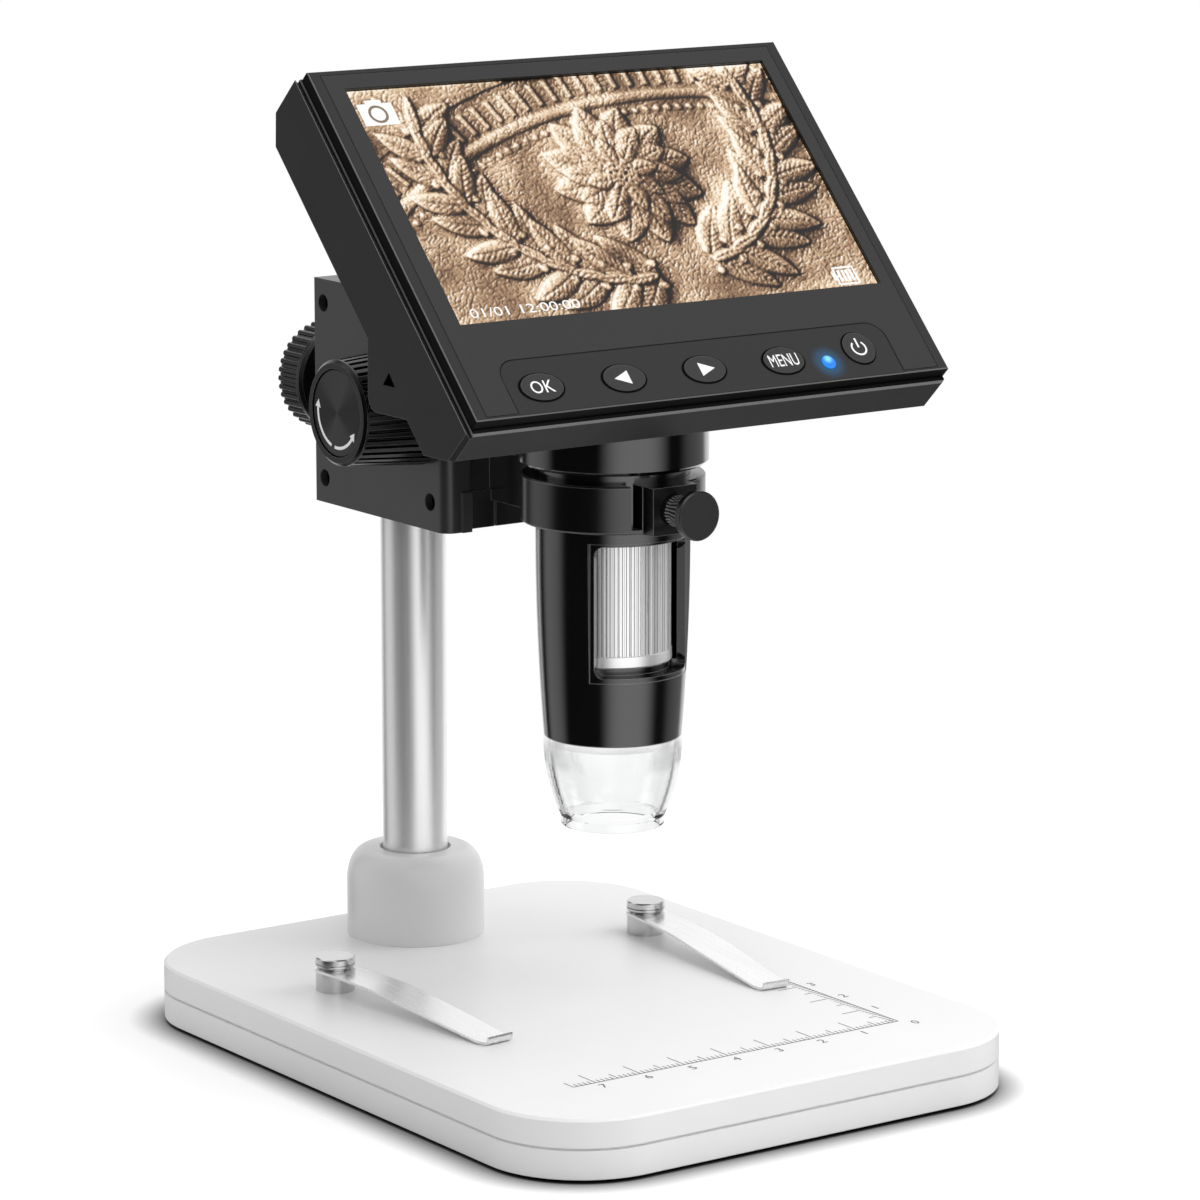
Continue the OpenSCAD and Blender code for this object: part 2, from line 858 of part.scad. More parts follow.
module focus_wheel() {
    color("silver")
        translate([0, axis_y, wheel_z])
            difference() {
                rotate_extrude()
                    polygon([[9.6, 0], [wheel_r - 0.2, 0], [wheel_r, 0.3], [wheel_r, 2.2],
                        [wheel_r - 0.15, 2.35], [wheel_r - 0.15, wheel_h - 0.3],
                        [wheel_r - 0.45, wheel_h], [9.6, wheel_h]]);
                for (i = [0 : wheel_ribs - 1])
                    rotate([0, 0, 360 / wheel_ribs * i])
                        box([wheel_r - 0.6, -0.28, 2.3], [wheel_r + 1, 0.28, wheel_h + 1]);
            }
}

carrier_z = wheel_z + 5;

module lens_carrier() {
    color("black")
        translate([0, axis_y, carrier_z])
            difference() {
                cylinder(h = 14, r = 9.5);
                rod_z(-1, 15, 0, 0, 5.5);
                rod_z(-1, 3.5, 0, 0, 7.02);
            }
}

module lens_glass() {
    color("lightblue")
        translate([0, axis_y, carrier_z])
            rod_z(0.5, 3.5, 0, 0, 7);
}

mount_z = wheel_z + wheel_h + 0.1;

module sensor_mount() {
    color("black")
        translate([0, axis_y, 0])
            difference() {
                rod_z(mount_z, mount_z + 2.2, 0, 0, drum_r - snug);
                rod_z(mount_z - 1, mount_z + 3, 0, 0, 6);
            }
}

module sensor_board() {
    color("green")
        translate([0, axis_y, mount_z + 2.2]) {
            rod_z(0, 1.6, 0, 0, 10.5);
            box([-3.5, -3.5, -1], [3.5, 3.5, 0.1]);
        }
}

module sensor_flex() {
    color("orange")
        intersection() {
            box([-4, axis_y - 0.15, mount_z + 3.8], [4, axis_y + 0.15, screen_z]);
            at_screen()
                box([-10, -60, board_n - 60], [10, 40, board_n]);
        }
}

module light_ring() {
    color("green")
        translate([0, axis_y, 0])
            ring_z(barrel_z + 2.8, barrel_z + 4, 11.38, 5.5);
}

module ring_lights() {
    color("lightyellow")
        translate([0, axis_y, barrel_z + 2])
            for (i = [0 : 7])
                rotate([0, 0, 45 * i])
                    box([7.2, -0.9, 0], [9, 0.9, 0.8]);
}

module clear_shroud() {
    h1 = 15.5;
    wall = 1.4;
    hs = [for (i = [0 : 10]) h1 * i / 10];
    color("lightcyan", 0.4)
        translate([0, axis_y, barrel_z])
            rotate_extrude()
                polygon(concat(
                    [[10.1, 2.6], [11.35, 2.6], [11.35, -0.05], [shroud_at(0), -0.05]],
                    [for (h = [for (i = [1 : 10]) h1 * i / 10]) [shroud_at(h), -h]],
                    [[9.85, -h1 - 0.1], [9.85, -shroud_h + 0.3], [9.6, -shroud_h],
                        [8.7, -shroud_h], [8.5, -h1]],
                    [for (i = [9 : -1 : 1]) [shroud_at(hs[i]) - wall, -hs[i]]],
                    [[shroud_at(0) - wall - 0.4, -1.2], [10.1, -0.4]]));
}

// ---------- display head ----------

module case_outline() {
    polygon(concat(
        [sp(case_low + rim, frame_back), sp(case_low, frame_back - rim), sp(case_low, -10),
            sp(case_low + 6.1, case_back)],
        [[screen_y - case_back * cos(screen_tilt) + (wedge_z - screen_z - case_back * sin(screen_tilt))
            * tan(screen_tilt), wedge_z]],
        [for (a = [-90 : 15 : 0])
            [wedge_y - wedge_r + wedge_r * cos(a), wedge_z + wedge_r + wedge_r * sin(a)]],
        [[wedge_y, plane_z(wedge_y, case_back)]],
        [sp(case_high - 4.4, case_back), sp(case_high, -12), sp(case_high, frame_back - rim),
            sp(case_high - rim, frame_back)]));
}

module case_room() {
    w = case_wall;
    polygon([sp(case_low + w, frame_back + 1), sp(case_low + w, -9.2), sp(case_low + w + 5, case_back + w),
        sp(case_high - w - 3.2, case_back + w), sp(case_high - w, -11.2), sp(case_high - w, frame_back + 1)]);
    polygon([[wedge_y - w - 12.2, wedge_z + w], [wedge_y - wedge_r, wedge_z + w],
        [wedge_y - w, wedge_z + wedge_r], [wedge_y - w, plane_z(wedge_y - w, case_back + w + 0.5)],
        [wedge_y - w - 12.2, plane_z(wedge_y - w - 12.2, case_back + w + 0.5)]]);
}

module rear_housing() {
    hw = case_w / 2;
    color("dimgray")
        difference() {
            union() {
                difference() {
                    union() {
                        along_x(-hw, hw)
                            case_outline();
                        intersection() {
                            translate([0, axis_y, neck_z])
                                rotate_extrude()
                                    polygon([[0, 0], [neck_r - 0.7, 0], [neck_r, 0.7], [neck_r, 55], [0, 55]]);
                            at_screen()
                                box([-40, -90, case_back - 60], [40, 60, case_back + 0.5]);
                        }
                    }
                    along_x(-edge(4.48), edge(4.48))
                        case_room();
                    intersection() {
                        rod_z(socket_z - 1, neck_z + 55, 0, axis_y, 12.5);
                        at_screen()
                            box([-40, -90, case_back - 60], [40, 60, case_back + case_wall + 0.5]);
                    }
                }
                at_screen() {
                    for (p = pillars)
                        rod_z(case_back + 1, bracket_n, p[0], p[1], 2.6);
                    for (p = board_spots)
                        rod_z(case_back + 1, board_n, p[0], p[1], 2.6);
                }
            }
            rod_z(neck_z - 1, socket_z, 0, axis_y, barrel_r + snug);
            at_screen() {
                for (s = [-1, 1])
                    translate([s * hw, 0, frame_back])
                        rotate([90, 0, 0])
                            translate([0, 0, -60])
                                linear_extrude(130)
                                    polygon([[0, -rim], [1, -rim - 1], [1, 1], [-rim - 1, 1], [-rim, 0]]);
                for (s = [-1, 1])
                    translate([s * hw, case_low, -30])
                        linear_extrude(40)
                            polygon([[-s * 0.8, -1], [s, -1], [s, 0.8], [0, 0.8], [-s * 0.8, 0]]);
                for (p = pillars) {
                    rod_z(case_back - 1, case_back + 1.6, p[0], p[1], 2.1);
                    rod_z(case_back, bracket_n + 1, p[0], p[1], 1.1);
                }
                for (p = board_spots)
                    rod_z(board_n - 4, board_n + 1, p[0], p[1], 1 + snug);
                box([edge(4.48) - 1, -14.1, board_n - 3.5], [hw + 1, -5.9, board_n + 0.1]);
                box([edge(4.48) - 1, 1.9, board_n - 2.3], [hw + 1, 14.1, board_n + 0.1]);
            }
        }
}

module front_frame() {
    fw = frame_w / 2;
    c = 0.25;
    color("black")
        at_screen()
            difference() {
                union() {
                    difference() {
                        intersection() {
                            along_x(-fw, fw)
                                polygon([[frame_low, frame_back], [frame_high, frame_back],
                                    [frame_high, face_n - c], [frame_high - c, face_n],
                                    [frame_low + c, face_n], [frame_low, face_n - c]]);
                            translate([0, frame_high + 1, 0])
                                rotate([90, 0, 0])
                                    linear_extrude(frame_high - frame_low + 2)
                                        polygon([[-fw, frame_back - 1], [fw, frame_back - 1], [fw, face_n - c],
                                            [fw - c, face_n], [c - fw, face_n], [-fw, face_n - c]]);
                        }
                        box([-panel_w / 2 - 0.06, panel_low - 0.06, 0], [panel_w / 2 + 0.06, panel_high + 0.06, 2]);
                        box([-edge(2.58), -33, frame_back - 1], [edge(2.58), 30.2, 2]);
                    }
                    translate([0, 0, frame_back])
                        linear_extrude(face_n - frame_back)
                            strip_outline(0);
                    for (s = [0, 1])
                        mirror([s, 0, 0])
                            box([edge(3.48), -44, bracket_n], [edge(4.38), 30, frame_back + 0.1]);
                }
                for (u = key_u)
                    translate([u, key_v, frame_back - 1])
                        linear_extrude(5)
                            key_outline(0.12);
                rod_z(frame_back - 1, 3, power_u, power_v, power_r + 0.12);
                rod_z(frame_back - 1, 3, light_u, light_v, light_r + snug);
            }
}

// raised button strip, sunk sides up to the panel
module strip_outline(gap) {
    u0 = strip_u[0] - gap;
    u1 = strip_u[1] + gap;
    r = strip_r + gap;
    v1 = strip_v + gap;
    translate([u0, frame_low + 0.2])
        square([u1 - u0, v1 - r - frame_low - 0.2]);
    translate([u0 + r, frame_low + 0.2])
        square([u1 - u0 - 2 * r, v1 - frame_low - 0.2]);
    for (u = [u0 + r, u1 - r])
        translate([u, v1 - r])
            circle(r);
}

module key_outline(gap) {
    polygon([for (a = [0 : 7.5 : 359]) [(key_a + gap) * cos(a), (key_b + gap) * sin(a)]]);
}

module front_panel() {
    color("black")
        at_screen()
            difference() {
                box([-panel_w / 2, panel_low, 0.02], [panel_w / 2, panel_high, face_n]);
                box([screen_u - screen_w / 2 - 0.1, -screen_h / 2 - 0.1, -1],
                    [screen_u + screen_w / 2 + 0.1, screen_h / 2 + 0.1, 2]);
                translate([0, 0, -1])
                    linear_extrude(3)
                        strip_outline(0.12);
            }
}

module lcd_module() {
    color("slategray")
        at_screen()
            box([-edge(2.38), -31.5, -2.9], [edge(2.38), 30, 0]);
}

module display_bracket() {
    color("silver")
        at_screen()
            difference() {
                union() {
                    box([-edge(3.43), -32.9, bracket_n], [edge(3.43), 30, -2.9]);
                    for (s = [0, 1])
                        mirror([s, 0, 0])
                            box([pillar_u - 3.65, -40, bracket_n], [edge(3.43), -32, -2.9]);
                }
                box([-20, -14, bracket_n - 1], [20, 14, 0]);
                for (p = pillars)
                    rod_z(bracket_n - 1, 0, p[0], p[1], 1 + snug);
            }
}

module key_board() {
    color("green")
        at_screen()
            difference() {
                union() {
                    box([-42, -46, -5], [41, -36, -3.8]);
                    for (u = concat(key_u, [power_u]))
                        box([u - 2, key_v - 2, -3.9], [u + 2, key_v + 2, -2.6]);
                }
                for (p = pillars)
                    rod_z(-6, -2, p[0], p[1], 2.9);
            }
}

module key(u, v) {
    color("black")
        at_screen()
            translate([u, v, 0]) {
                translate([0, 0, -1])
                    linear_extrude(key_top + 1)
                        key_outline(0);
                rod_z(-2.1, -0.9, 0, 0, 1.4);
            }
}

module button_ok() {
    key(key_u[0], key_v);
}

module button_left() {
    key(key_u[1], key_v);
}

module button_right() {
    key(key_u[2], key_v);
}

module button_menu() {
    key(key_u[3], key_v);
}

module button_power() {
    color("black")
        at_screen()
            translate([power_u, power_v, 0]) {
                rod_z(-1, key_top, 0, 0, power_r);
                rod_z(-2.1, -0.9, 0, 0, 1.4);
            }
}

module status_light() {
    color("dodgerblue")
        at_screen()
            rod_z(-3.8, face_n + 0.15, light_u, light_v, light_r);
}

module main_board() {
    color("green")
        at_screen()
            difference() {
                union() {
                    box([11 - case_w / 2, -27, board_n], [case_w / 2 - 4, 25, board_n + 1.6]);
                    box([-14, -10, board_n + 1.5], [0, 4, board_n + 2.7]);
                    box([14, -2, board_n + 1.5], [23, 9, board_n + 2.5]);
                }
                for (p = pillars)
                    rod_z(board_n - 1, board_n + 3, p[0], p[1], 2.9);
                for (p = board_spots)
                    rod_z(board_n - 1, board_n + 3, p[0], p[1], 1 + snug);
            }
}

module battery() {
    color("lightgray")
        at_screen()
            box([5 - spot_u, -6, case_back + case_wall + snug], [spot_u - 11, 24, board_n - 0.3]);
}

module usb_socket() {
    hw = case_w / 2;
    color("silver")
        at_screen()
            difference() {
                box([hw - 8, -14, board_n - 3.4], [hw - 0.6, -6, board_n]);
                box([hw - 6, -13.4, board_n - 2.8], [hw, -6.6, board_n - 0.6]);
            }
}

module card_socket() {
    hw = case_w / 2;
    color("silver")
        at_screen()
            difference() {
                box([hw - 14, 2, board_n - 2.2], [hw - 0.8, 14, board_n]);
                box([hw - 12, 2.6, board_n - 1.6], [hw, 13.4, board_n - 0.6]);
            }
}

module case_screws() {
    color("black")
        at_screen() {
            for (p = pillars) {
                rod_z(case_back + 0.3, case_back + 1.6, p[0], p[1], 2);
                rod_z(case_back + 1.5, -2.95, p[0], p[1], 1);
            }
            for (p = board_spots) {
                rod_z(board_n + 1.6, board_n + 2.9, p[0], p[1], 2);
                rod_z(board_n - 3.5, board_n + 1.7, p[0], p[1], 1);
            }
        }
}

// ---------- everything ----------

base_top_shell();
base_bottom_plate();
base_weight();
base_feet();
base_screws();
pole_collar();
collar_bolts();
clip_posts();
clip_nuts();
clip_screws();
pole_tube();
pole_cap();
collar_set_screw();
block_left();
block_right();
block_screws();
lock_nut();
lock_pad();
lock_knob();
lock_screw();
focus_shaft();
focus_pinion();
focus_knob_left();
focus_knob_right();
focus_cap_left();
focus_cap_right();
carriage();
focus_rack();
thumb_screw();
barrel_shell();
sensor_mount();
sensor_board();
sensor_flex();
light_ring();
ring_lights();
clear_shroud();
rear_housing();
front_frame();
front_panel();
lcd_module();
display_bracket();
key_board();
main_board();
battery();
usb_socket();
card_socket();
case_screws();
status_light();
focus_wheel();
lens_carrier();
lens_glass();
button_ok();
button_left();
button_right();
button_menu();
button_power();
clip_spring_left();
clip_spring_right();
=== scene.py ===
"""Looks of an LCD digital microscope: finishes, prints, the lit picture, studio and camera.

Lengths are metres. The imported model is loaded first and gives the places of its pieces."""

import json
import math

import bmesh
import bpy
import numpy as np
from bpy.props import FloatProperty, FloatVectorProperty, PointerProperty
from mathutils import Matrix, Vector

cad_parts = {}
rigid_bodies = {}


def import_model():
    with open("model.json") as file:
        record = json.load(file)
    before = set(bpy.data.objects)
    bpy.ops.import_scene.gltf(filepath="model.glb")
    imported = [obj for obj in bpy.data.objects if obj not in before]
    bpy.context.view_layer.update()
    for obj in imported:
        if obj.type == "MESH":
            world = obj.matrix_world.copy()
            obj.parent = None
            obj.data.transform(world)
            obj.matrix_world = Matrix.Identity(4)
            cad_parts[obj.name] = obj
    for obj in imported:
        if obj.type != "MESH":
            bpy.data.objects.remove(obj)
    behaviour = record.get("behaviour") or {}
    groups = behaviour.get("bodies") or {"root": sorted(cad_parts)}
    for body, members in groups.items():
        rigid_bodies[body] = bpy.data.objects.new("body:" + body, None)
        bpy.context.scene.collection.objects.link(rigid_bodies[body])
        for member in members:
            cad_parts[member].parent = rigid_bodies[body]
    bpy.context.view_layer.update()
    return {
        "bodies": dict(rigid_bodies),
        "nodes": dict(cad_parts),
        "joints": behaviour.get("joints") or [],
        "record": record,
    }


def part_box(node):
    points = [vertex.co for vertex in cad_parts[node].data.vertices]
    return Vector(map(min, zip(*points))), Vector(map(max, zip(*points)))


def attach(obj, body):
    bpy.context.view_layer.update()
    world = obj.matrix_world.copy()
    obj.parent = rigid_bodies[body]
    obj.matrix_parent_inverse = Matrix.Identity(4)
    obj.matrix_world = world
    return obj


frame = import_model()
NODES = frame["nodes"]

bl_info = {
    "name": "Microscope looks",
    "version": (1, 0, 0),
    "blender": (4, 5, 0),
    "location": "View3D > Sidebar > Microscope",
    "description": "Finishes, prints, picture and studio for a display microscope",
    "category": "Object",
}

MM = 0.001
INK = 0.03 * MM  # thickness of printed marks
DISPLAY_LEAN = math.radians(43.9)  # lean of the display back from vertical
DISPLAY_AT = Vector((0, -13.6, 168.67)) * MM  # middle of the display's face
DISPLAY_TURN = math.pi / 2 - DISPLAY_LEAN
# display places: u right, v up the slope, n out of the face
DISPLAY = Matrix.Translation(DISPLAY_AT) @ Matrix.Rotation(DISPLAY_TURN, 4, "X")
PANEL_N = 0.8 * MM  # outer face of the panel
KEY_N = 1.05 * MM  # outer face of the keys
FRAME_N = -1.8  # where the frame leaves the housing, mm out of the display's face
BEVEL = 0.7  # bevel of the housing's front edge, mm
STRIP_N = (0.56, 0.78)  # rounded edge of the frame's raised strip, mm out of the display's face
NECK_RADIUS = 18.4 * MM
NECK_TOP = 132 * MM
WHEEL_FOOT = 2.35 * MM  # smooth foot under the wheel's flutes
THUMB_DISC = 1.9 * MM  # thickness of the thumb screw's disc
RING_PITCH = 0.22 * MM  # between the turned rings of the knobs' caps
SIDE_MARK_YZ = (-20 * MM, 138.5 * MM)  # triangle on the housing's left side
FLOOR_COLOUR = (0.74, 0.74, 0.74)


def grey(level):
    """Linear colour of an even grey written as its display value, 0 to 255."""
    value = level / 255
    linear = value / 12.92 if value <= 0.04045 else ((value + 0.055) / 1.055) ** 2.4
    return (linear, linear, linear)


def colour_property(label, text, level):
    return FloatVectorProperty(
        name=label, description=text, subtype="COLOR", size=3, min=0, max=1, default=grey(level))


def length_property(label, text, millimetres):
    return FloatProperty(
        name=label, description=text, subtype="DISTANCE", unit="LENGTH", min=0, precision=5,
        default=millimetres * MM)


def angle_property(label, text, degrees):
    return FloatProperty(name=label, description=text, subtype="ANGLE", default=math.radians(degrees))


def number_property(label, text, default, **limits):
    return FloatProperty(name=label, description=text, default=default, **{"min": 0, **limits})


class MicroscopeFinishes(bpy.types.PropertyGroup):
    """Colours of the microscope's finishes."""

    white: colour_property("White plastic", "Base halves", 229)
    block: colour_property("Block", "Focus block", 52)
    knob: colour_property("Knobs", "Focus knobs and lock knob", 9)
    case: colour_property("Housing", "Rear housing of the display", 42)
    panel: colour_property("Panel", "Front panel", 43)
    barrel: colour_property("Barrel", "Camera barrel, neck, slide and clamp ring", 8)
    ink: colour_property("Ink", "White symbols on the keys and caps", 240)
    ruler_ink: colour_property("Ruler ink", "Scale printed on the base", 92)
    glow: number_property("Picture brightness", "Strength of the lit picture", 1.0, max=5)


class MicroscopeMarks(bpy.types.PropertyGroup):
    """Sizes of the printed marks."""

    ruler_x: length_property("Ruler corner X", "Corner of the scale, right of the middle", 37.8)
    ruler_length: length_property("Ruler width", "Scale along the front edge", 75)
    ruler_depth: length_property("Ruler depth", "Scale along the right edge", 35)
    ruler_inset: length_property("Ruler inset", "Scale behind the front edge of the base", 20.9)
    digit: length_property("Ruler digits", "Height of the scale's digits", 2.1)
    key_word: length_property("Key words", "Height of the words on the keys", 2.7)


class MicroscopeStudio(bpy.types.PropertyGroup):
    """Light and camera."""

    surround: number_property("Surround", "Even light from all round", 0.86, max=2)
    key: number_property("Key lamp", "Power of the key lamp, watts", 2.4)
    fill: number_property("Fill lamp", "Power of the fill lamp, watts", 1.9)
    top: number_property("Top lamp", "Power of the top lamp, watts", 5.6)
    lens: number_property("Lens", "Focal length, millimetres on a 36 mm frame", 155.34, min=10, max=500)
    azimuth: angle_property("Camera azimuth", "Turn of the camera to the left of the front", 35.3)
    pitch: angle_property("Camera pitch", "How far the camera looks down", 11.35)
    distance: length_property("Camera distance", "Distance from the point looked at", 926.7)
    aim: FloatVectorProperty(
        name="Aim", description="Point that the camera looks at", subtype="TRANSLATION", size=3,
        default=(-0.0297, -0.0513, 0.1008))


# ---------- shader helpers ----------


def feed(tree, made, sockets):
    """Set a shader node's sockets to values, or link them to other sockets."""
    for key, value in sockets.items():
        if isinstance(value, bpy.types.NodeSocket):
            tree.links.new(value, made.inputs[key])
        else:
            made.inputs[key].default_value = value


def add(tree, kind, sockets=None, **settings):
    """Put a shader node in a tree and feed its sockets."""
    made = tree.nodes.new("ShaderNode" + kind)
    for key, value in settings.items():
        setattr(made, key, value)
    feed(tree, made, sockets or {})
    return made


def maths(tree, operation, *values):
    return add(tree, "Math", dict(enumerate(values)), operation=operation).outputs[0]


def vectors(tree, operation, *values):
    """Vector maths, which gives a number for a length, a distance or a dot product."""
    outputs = add(tree, "VectorMath", dict(enumerate(values)), operation=operation).outputs
    return outputs["Value" if operation in ("LENGTH", "DISTANCE", "DOT_PRODUCT") else "Vector"]


def scaled(tree, colour, amount):
    return add(tree, "VectorMath", {0: colour, "Scale": amount}, operation="SCALE").outputs["Vector"]


def ramp(tree, value, start, stop, low=0.0, high=1.0, smooth=False):
    """Map a value from start to stop onto low to high, and hold it level beyond them."""
    return add(tree, "MapRange", {
        "Value": value, "From Min": start, "From Max": stop, "To Min": low, "To Max": high},
        interpolation_type="SMOOTHSTEP" if smooth else "LINEAR").outputs[0]


def spread(tree, value, low, high):
    """Map a value from 0 to 1 onto low to high."""
    return ramp(tree, value, 0.0, 1.0, low, high)


def own_place(tree):
    """Where a point of the piece is, in metres."""
    return add(tree, "TexCoord").outputs["Object"]


def split(tree, place):
    """X, Y and Z of a place."""
    return add(tree, "SeparateXYZ", {0: place}).outputs


def noise(tree, scale, detail=2.0, roughness=0.5, where=None):
    return add(tree, "TexNoise", {
        "Vector": own_place(tree) if where is None else where, "Scale": scale, "Detail": detail,
        "Roughness": roughness}).outputs["Fac"]


def colour_mix(tree, factor, first, second):
    return add(tree, "Mix", {"Factor": factor, 6: first, 7: second}, data_type="RGBA").outputs[2]


def bump(tree, height, strength, distance, **sockets):
    """Normal of a surface that a height raises, by a distance in mm."""
    return add(tree, "Bump", {
        "Height": height, "Strength": strength, "Distance": distance * MM, **sockets}).outputs[0]


def new_group(name, inputs, outputs):
    """A shader node group with named sockets: its tree, its input sockets and its output node."""
    tree = bpy.data.node_groups.new(name, "ShaderNodeTree")
    for label, kind, value in inputs:
        socket = tree.interface.new_socket(label, in_out="INPUT", socket_type="NodeSocket" + kind)
        socket.default_value = value
    for label, kind in outputs:
        tree.interface.new_socket(label, in_out="OUTPUT", socket_type="NodeSocket" + kind)
    return tree, tree.nodes.new("NodeGroupInput").outputs, tree.nodes.new("NodeGroupOutput")


def moulded_skin():
    """Fine grain, faint colour drift and patches of sheen of moulded plastic."""
    tree, inner, outer = new_group(
        "Moulded skin",
        [("Colour", "Color", (0.5, 0.5, 0.5, 1)), ("Roughness", "Float", 0.4), ("Grain", "Float", 0.0004),
         ("Drift", "Float", 0.1)],
        [("Colour", "Color"), ("Roughness", "Float"), ("Height", "Float")])
    grain = noise(tree, maths(tree, "DIVIDE", 1.0, inner["Grain"]), 3.0)
    patches = noise(tree, 55.0, 4.0, 0.6)
    shade = spread(tree, patches, 1.0, maths(tree, "SUBTRACT", 1.0, inner["Drift"]))
    swing = maths(tree, "MULTIPLY", spread(tree, patches, 0.82, 1.18), spread(tree, grain, 0.93, 1.07))
    feed(tree, outer, {
        "Colour": scaled(tree, inner["Colour"], shade),
        "Roughness": maths(tree, "MULTIPLY", inner["Roughness"], swing), "Height": grain})
    return tree


def rounded_edge():
    """Normal rounded over sharp edges, and a mask of where those edges are, on which plastics paint highlight and
    shade.
    """
    tree, inner, outer = new_group(
        "Rounded edge", [("Radius", "Float", 0.0003)], [("Normal", "Vector"), ("Edge", "Float")])
    rounded = add(tree, "Bevel", {"Radius": inner["Radius"]}, samples=4).outputs[0]
    facing = vectors(tree, "DOT_PRODUCT", rounded, add(tree, "NewGeometry").outputs["Normal"])
    feed(tree, outer, {"Normal": rounded, "Edge": ramp(tree, facing, 0.995, 0.85)})
    return tree


def drawn_lines():
    """Long fine lines of drawn or brushed metal, stretched by the given scales."""
    tree, inner, outer = new_group(
        "Drawn lines",
        [("Stretch", "Vector", (1, 1, 1)), ("Roughness", "Float", 0.3)],
        [("Roughness", "Float"), ("Height", "Float"), ("Shade", "Float")])
    lines = noise(tree, 1.0, 4.0, 0.65, vectors(tree, "MULTIPLY", own_place(tree), inner["Stretch"]))
    feed(tree, outer, {
        "Roughness": maths(tree, "MULTIPLY", inner["Roughness"], spread(tree, lines, 0.7, 1.3)),
        "Height": lines, "Shade": spread(tree, lines, 0.93, 1.07)})
    return tree


GROUPS = {}


def place_group(tree, maker, sockets):
    """Place the node group that a function makes, which is built once, and feed it."""
    if maker not in GROUPS:
        GROUPS[maker] = maker()
    return add(tree, "Group", sockets, node_tree=GROUPS[maker]).outputs


def emptied(owner):
    """The node tree of a material or a world, with nothing in it."""
    owner.use_nodes = True
    owner.node_tree.nodes.clear()
    return owner.node_tree


def new_material(name):
    """A material with only its Principled shader and output: the tree and the shader."""
    material = bpy.data.materials.new(name)
    tree = emptied(material)
    shader = add(tree, "BsdfPrincipled")
    add(tree, "OutputMaterial", {"Surface": shader.outputs[0]})
    return material, tree, shader


def shader_of(material):
    return next(n for n in material.node_tree.nodes if n.type == "BSDF_PRINCIPLED")


def plastic(name, colour, roughness, grain=0.4, depth=0.1, edge=0.25, specular=0.5, coat=0.0, drift=0.08,
            painted_edge_shading=None):
    """Moulded plastic: colour, sheen, grain size in mm, bump depth, edge rounding in mm, and the colour painted along
    its edges: a painted highlight where it is lighter than the plastic, painted shade where it is darker.
    """
    material, tree, shader = new_material(name)
    rim = place_group(tree, rounded_edge, {"Radius": edge * MM})
    skin = place_group(tree, moulded_skin, {
        "Colour": (*colour, 1), "Roughness": roughness, "Grain": grain * MM, "Drift": drift})
    # along the edges a painted highlight, or painted shade where the edge colour is darker than the plastic
    feed(tree, shader, {
        "Base Color": colour_mix(tree, rim["Edge"], skin["Colour"], (*(painted_edge_shading or colour), 1)),
        "Roughness": skin["Roughness"],
        "Normal": bump(tree, skin["Height"], depth, 0.1, Normal=rim["Normal"]),
        "Specular IOR Level": specular, "Coat Weight": coat, "Coat Roughness": 0.08})
    return material


def metal(name, colour, roughness, stretch, depth=0.15, edge=0.15, satin=0.0):
    """Bare metal with drawn lines, stretched along each axis by repeats per metre, and its share of plain scatter."""
    material, tree, shader = new_material(name)
    rim = place_group(tree, rounded_edge, {"Radius": edge * MM})
    lines = place_group(tree, drawn_lines, {"Stretch": stretch, "Roughness": roughness})
    feed(tree, shader, {
        "Base Color": scaled(tree, colour, lines["Shade"]), "Metallic": 1.0 - satin,
        "Roughness": lines["Roughness"],
        "Normal": bump(tree, lines["Height"], depth, 0.02, Normal=rim["Normal"])})
    return material


def recolour_masked(material, mask, colour, roughness, coat=False, keep_edges=False):
    """Give the masked part of a plastic another colour and sheen, and a hard coat if wanted; used for real finishes
    and for painted highlights and shade.
    """
    tree = material.node_tree
    if keep_edges:
        rim = next(n for n in tree.nodes if n.type == "GROUP" and n.node_tree == GROUPS[rounded_edge])
        mask = maths(tree, "MULTIPLY", mask, maths(tree, "SUBTRACT", 1.0, rim.outputs["Edge"]))
    shader = shader_of(material)
    for socket, value, kind, slots in (
            ("Base Color", (*colour, 1), "RGBA", (6, 7, 2)), ("Roughness", roughness, "FLOAT", (2, 3, 0))):
        old = shader.inputs[socket].links[0].from_socket
        mixed = add(tree, "Mix", {0: mask, slots[0]: old, slots[1]: value}, data_type=kind)
        feed(tree, shader, {socket: mixed.outputs[slots[2]]})
    if coat:
        feed(tree, shader, {"Coat IOR": 1.8, "Coat Weight": mask})


def marks_round(tree, u, v, count):
    """Distance from the nearest of a count of marks round an axis, where two marks stand 1 apart."""
    turn = maths(tree, "ARCTAN2", v, u)
    return maths(tree, "PINGPONG", maths(tree, "MULTIPLY", turn, count / (2 * math.pi)), 0.5)


def fluted(material, middle, foot):
    """Paint shade as dark lines into fine flutes round a metal wheel, above a smooth foot."""
    tree = material.node_tree
    x, y, z = split(tree, vectors(tree, "SUBTRACT", own_place(tree), middle))
    depth = 0.0
    for count, width, dark in ((90, 0.16, 0.85), (60, 0.07, 0.5)):
        line = ramp(tree, marks_round(tree, x, y, count), width, width * 0.3, high=dark)
        depth = maths(tree, "MAXIMUM", depth, line)
    above = maths(tree, "GREATER_THAN", z, foot - middle.z)
    shade = maths(tree, "SUBTRACT", 1.0, maths(tree, "MULTIPLY", depth, above))
    shader = shader_of(material)
    old = shader.inputs["Base Color"].links[0].from_socket
    feed(tree, shader, {"Base Color": scaled(tree, old, shade)})


def within(tree, value, low, high):
    """1 where a value lies between two limits."""
    return maths(tree, "MULTIPLY", maths(tree, "GREATER_THAN", value, low), maths(tree, "LESS_THAN", value, high))


def along_y(tree):
    return split(tree, own_place(tree))[1]


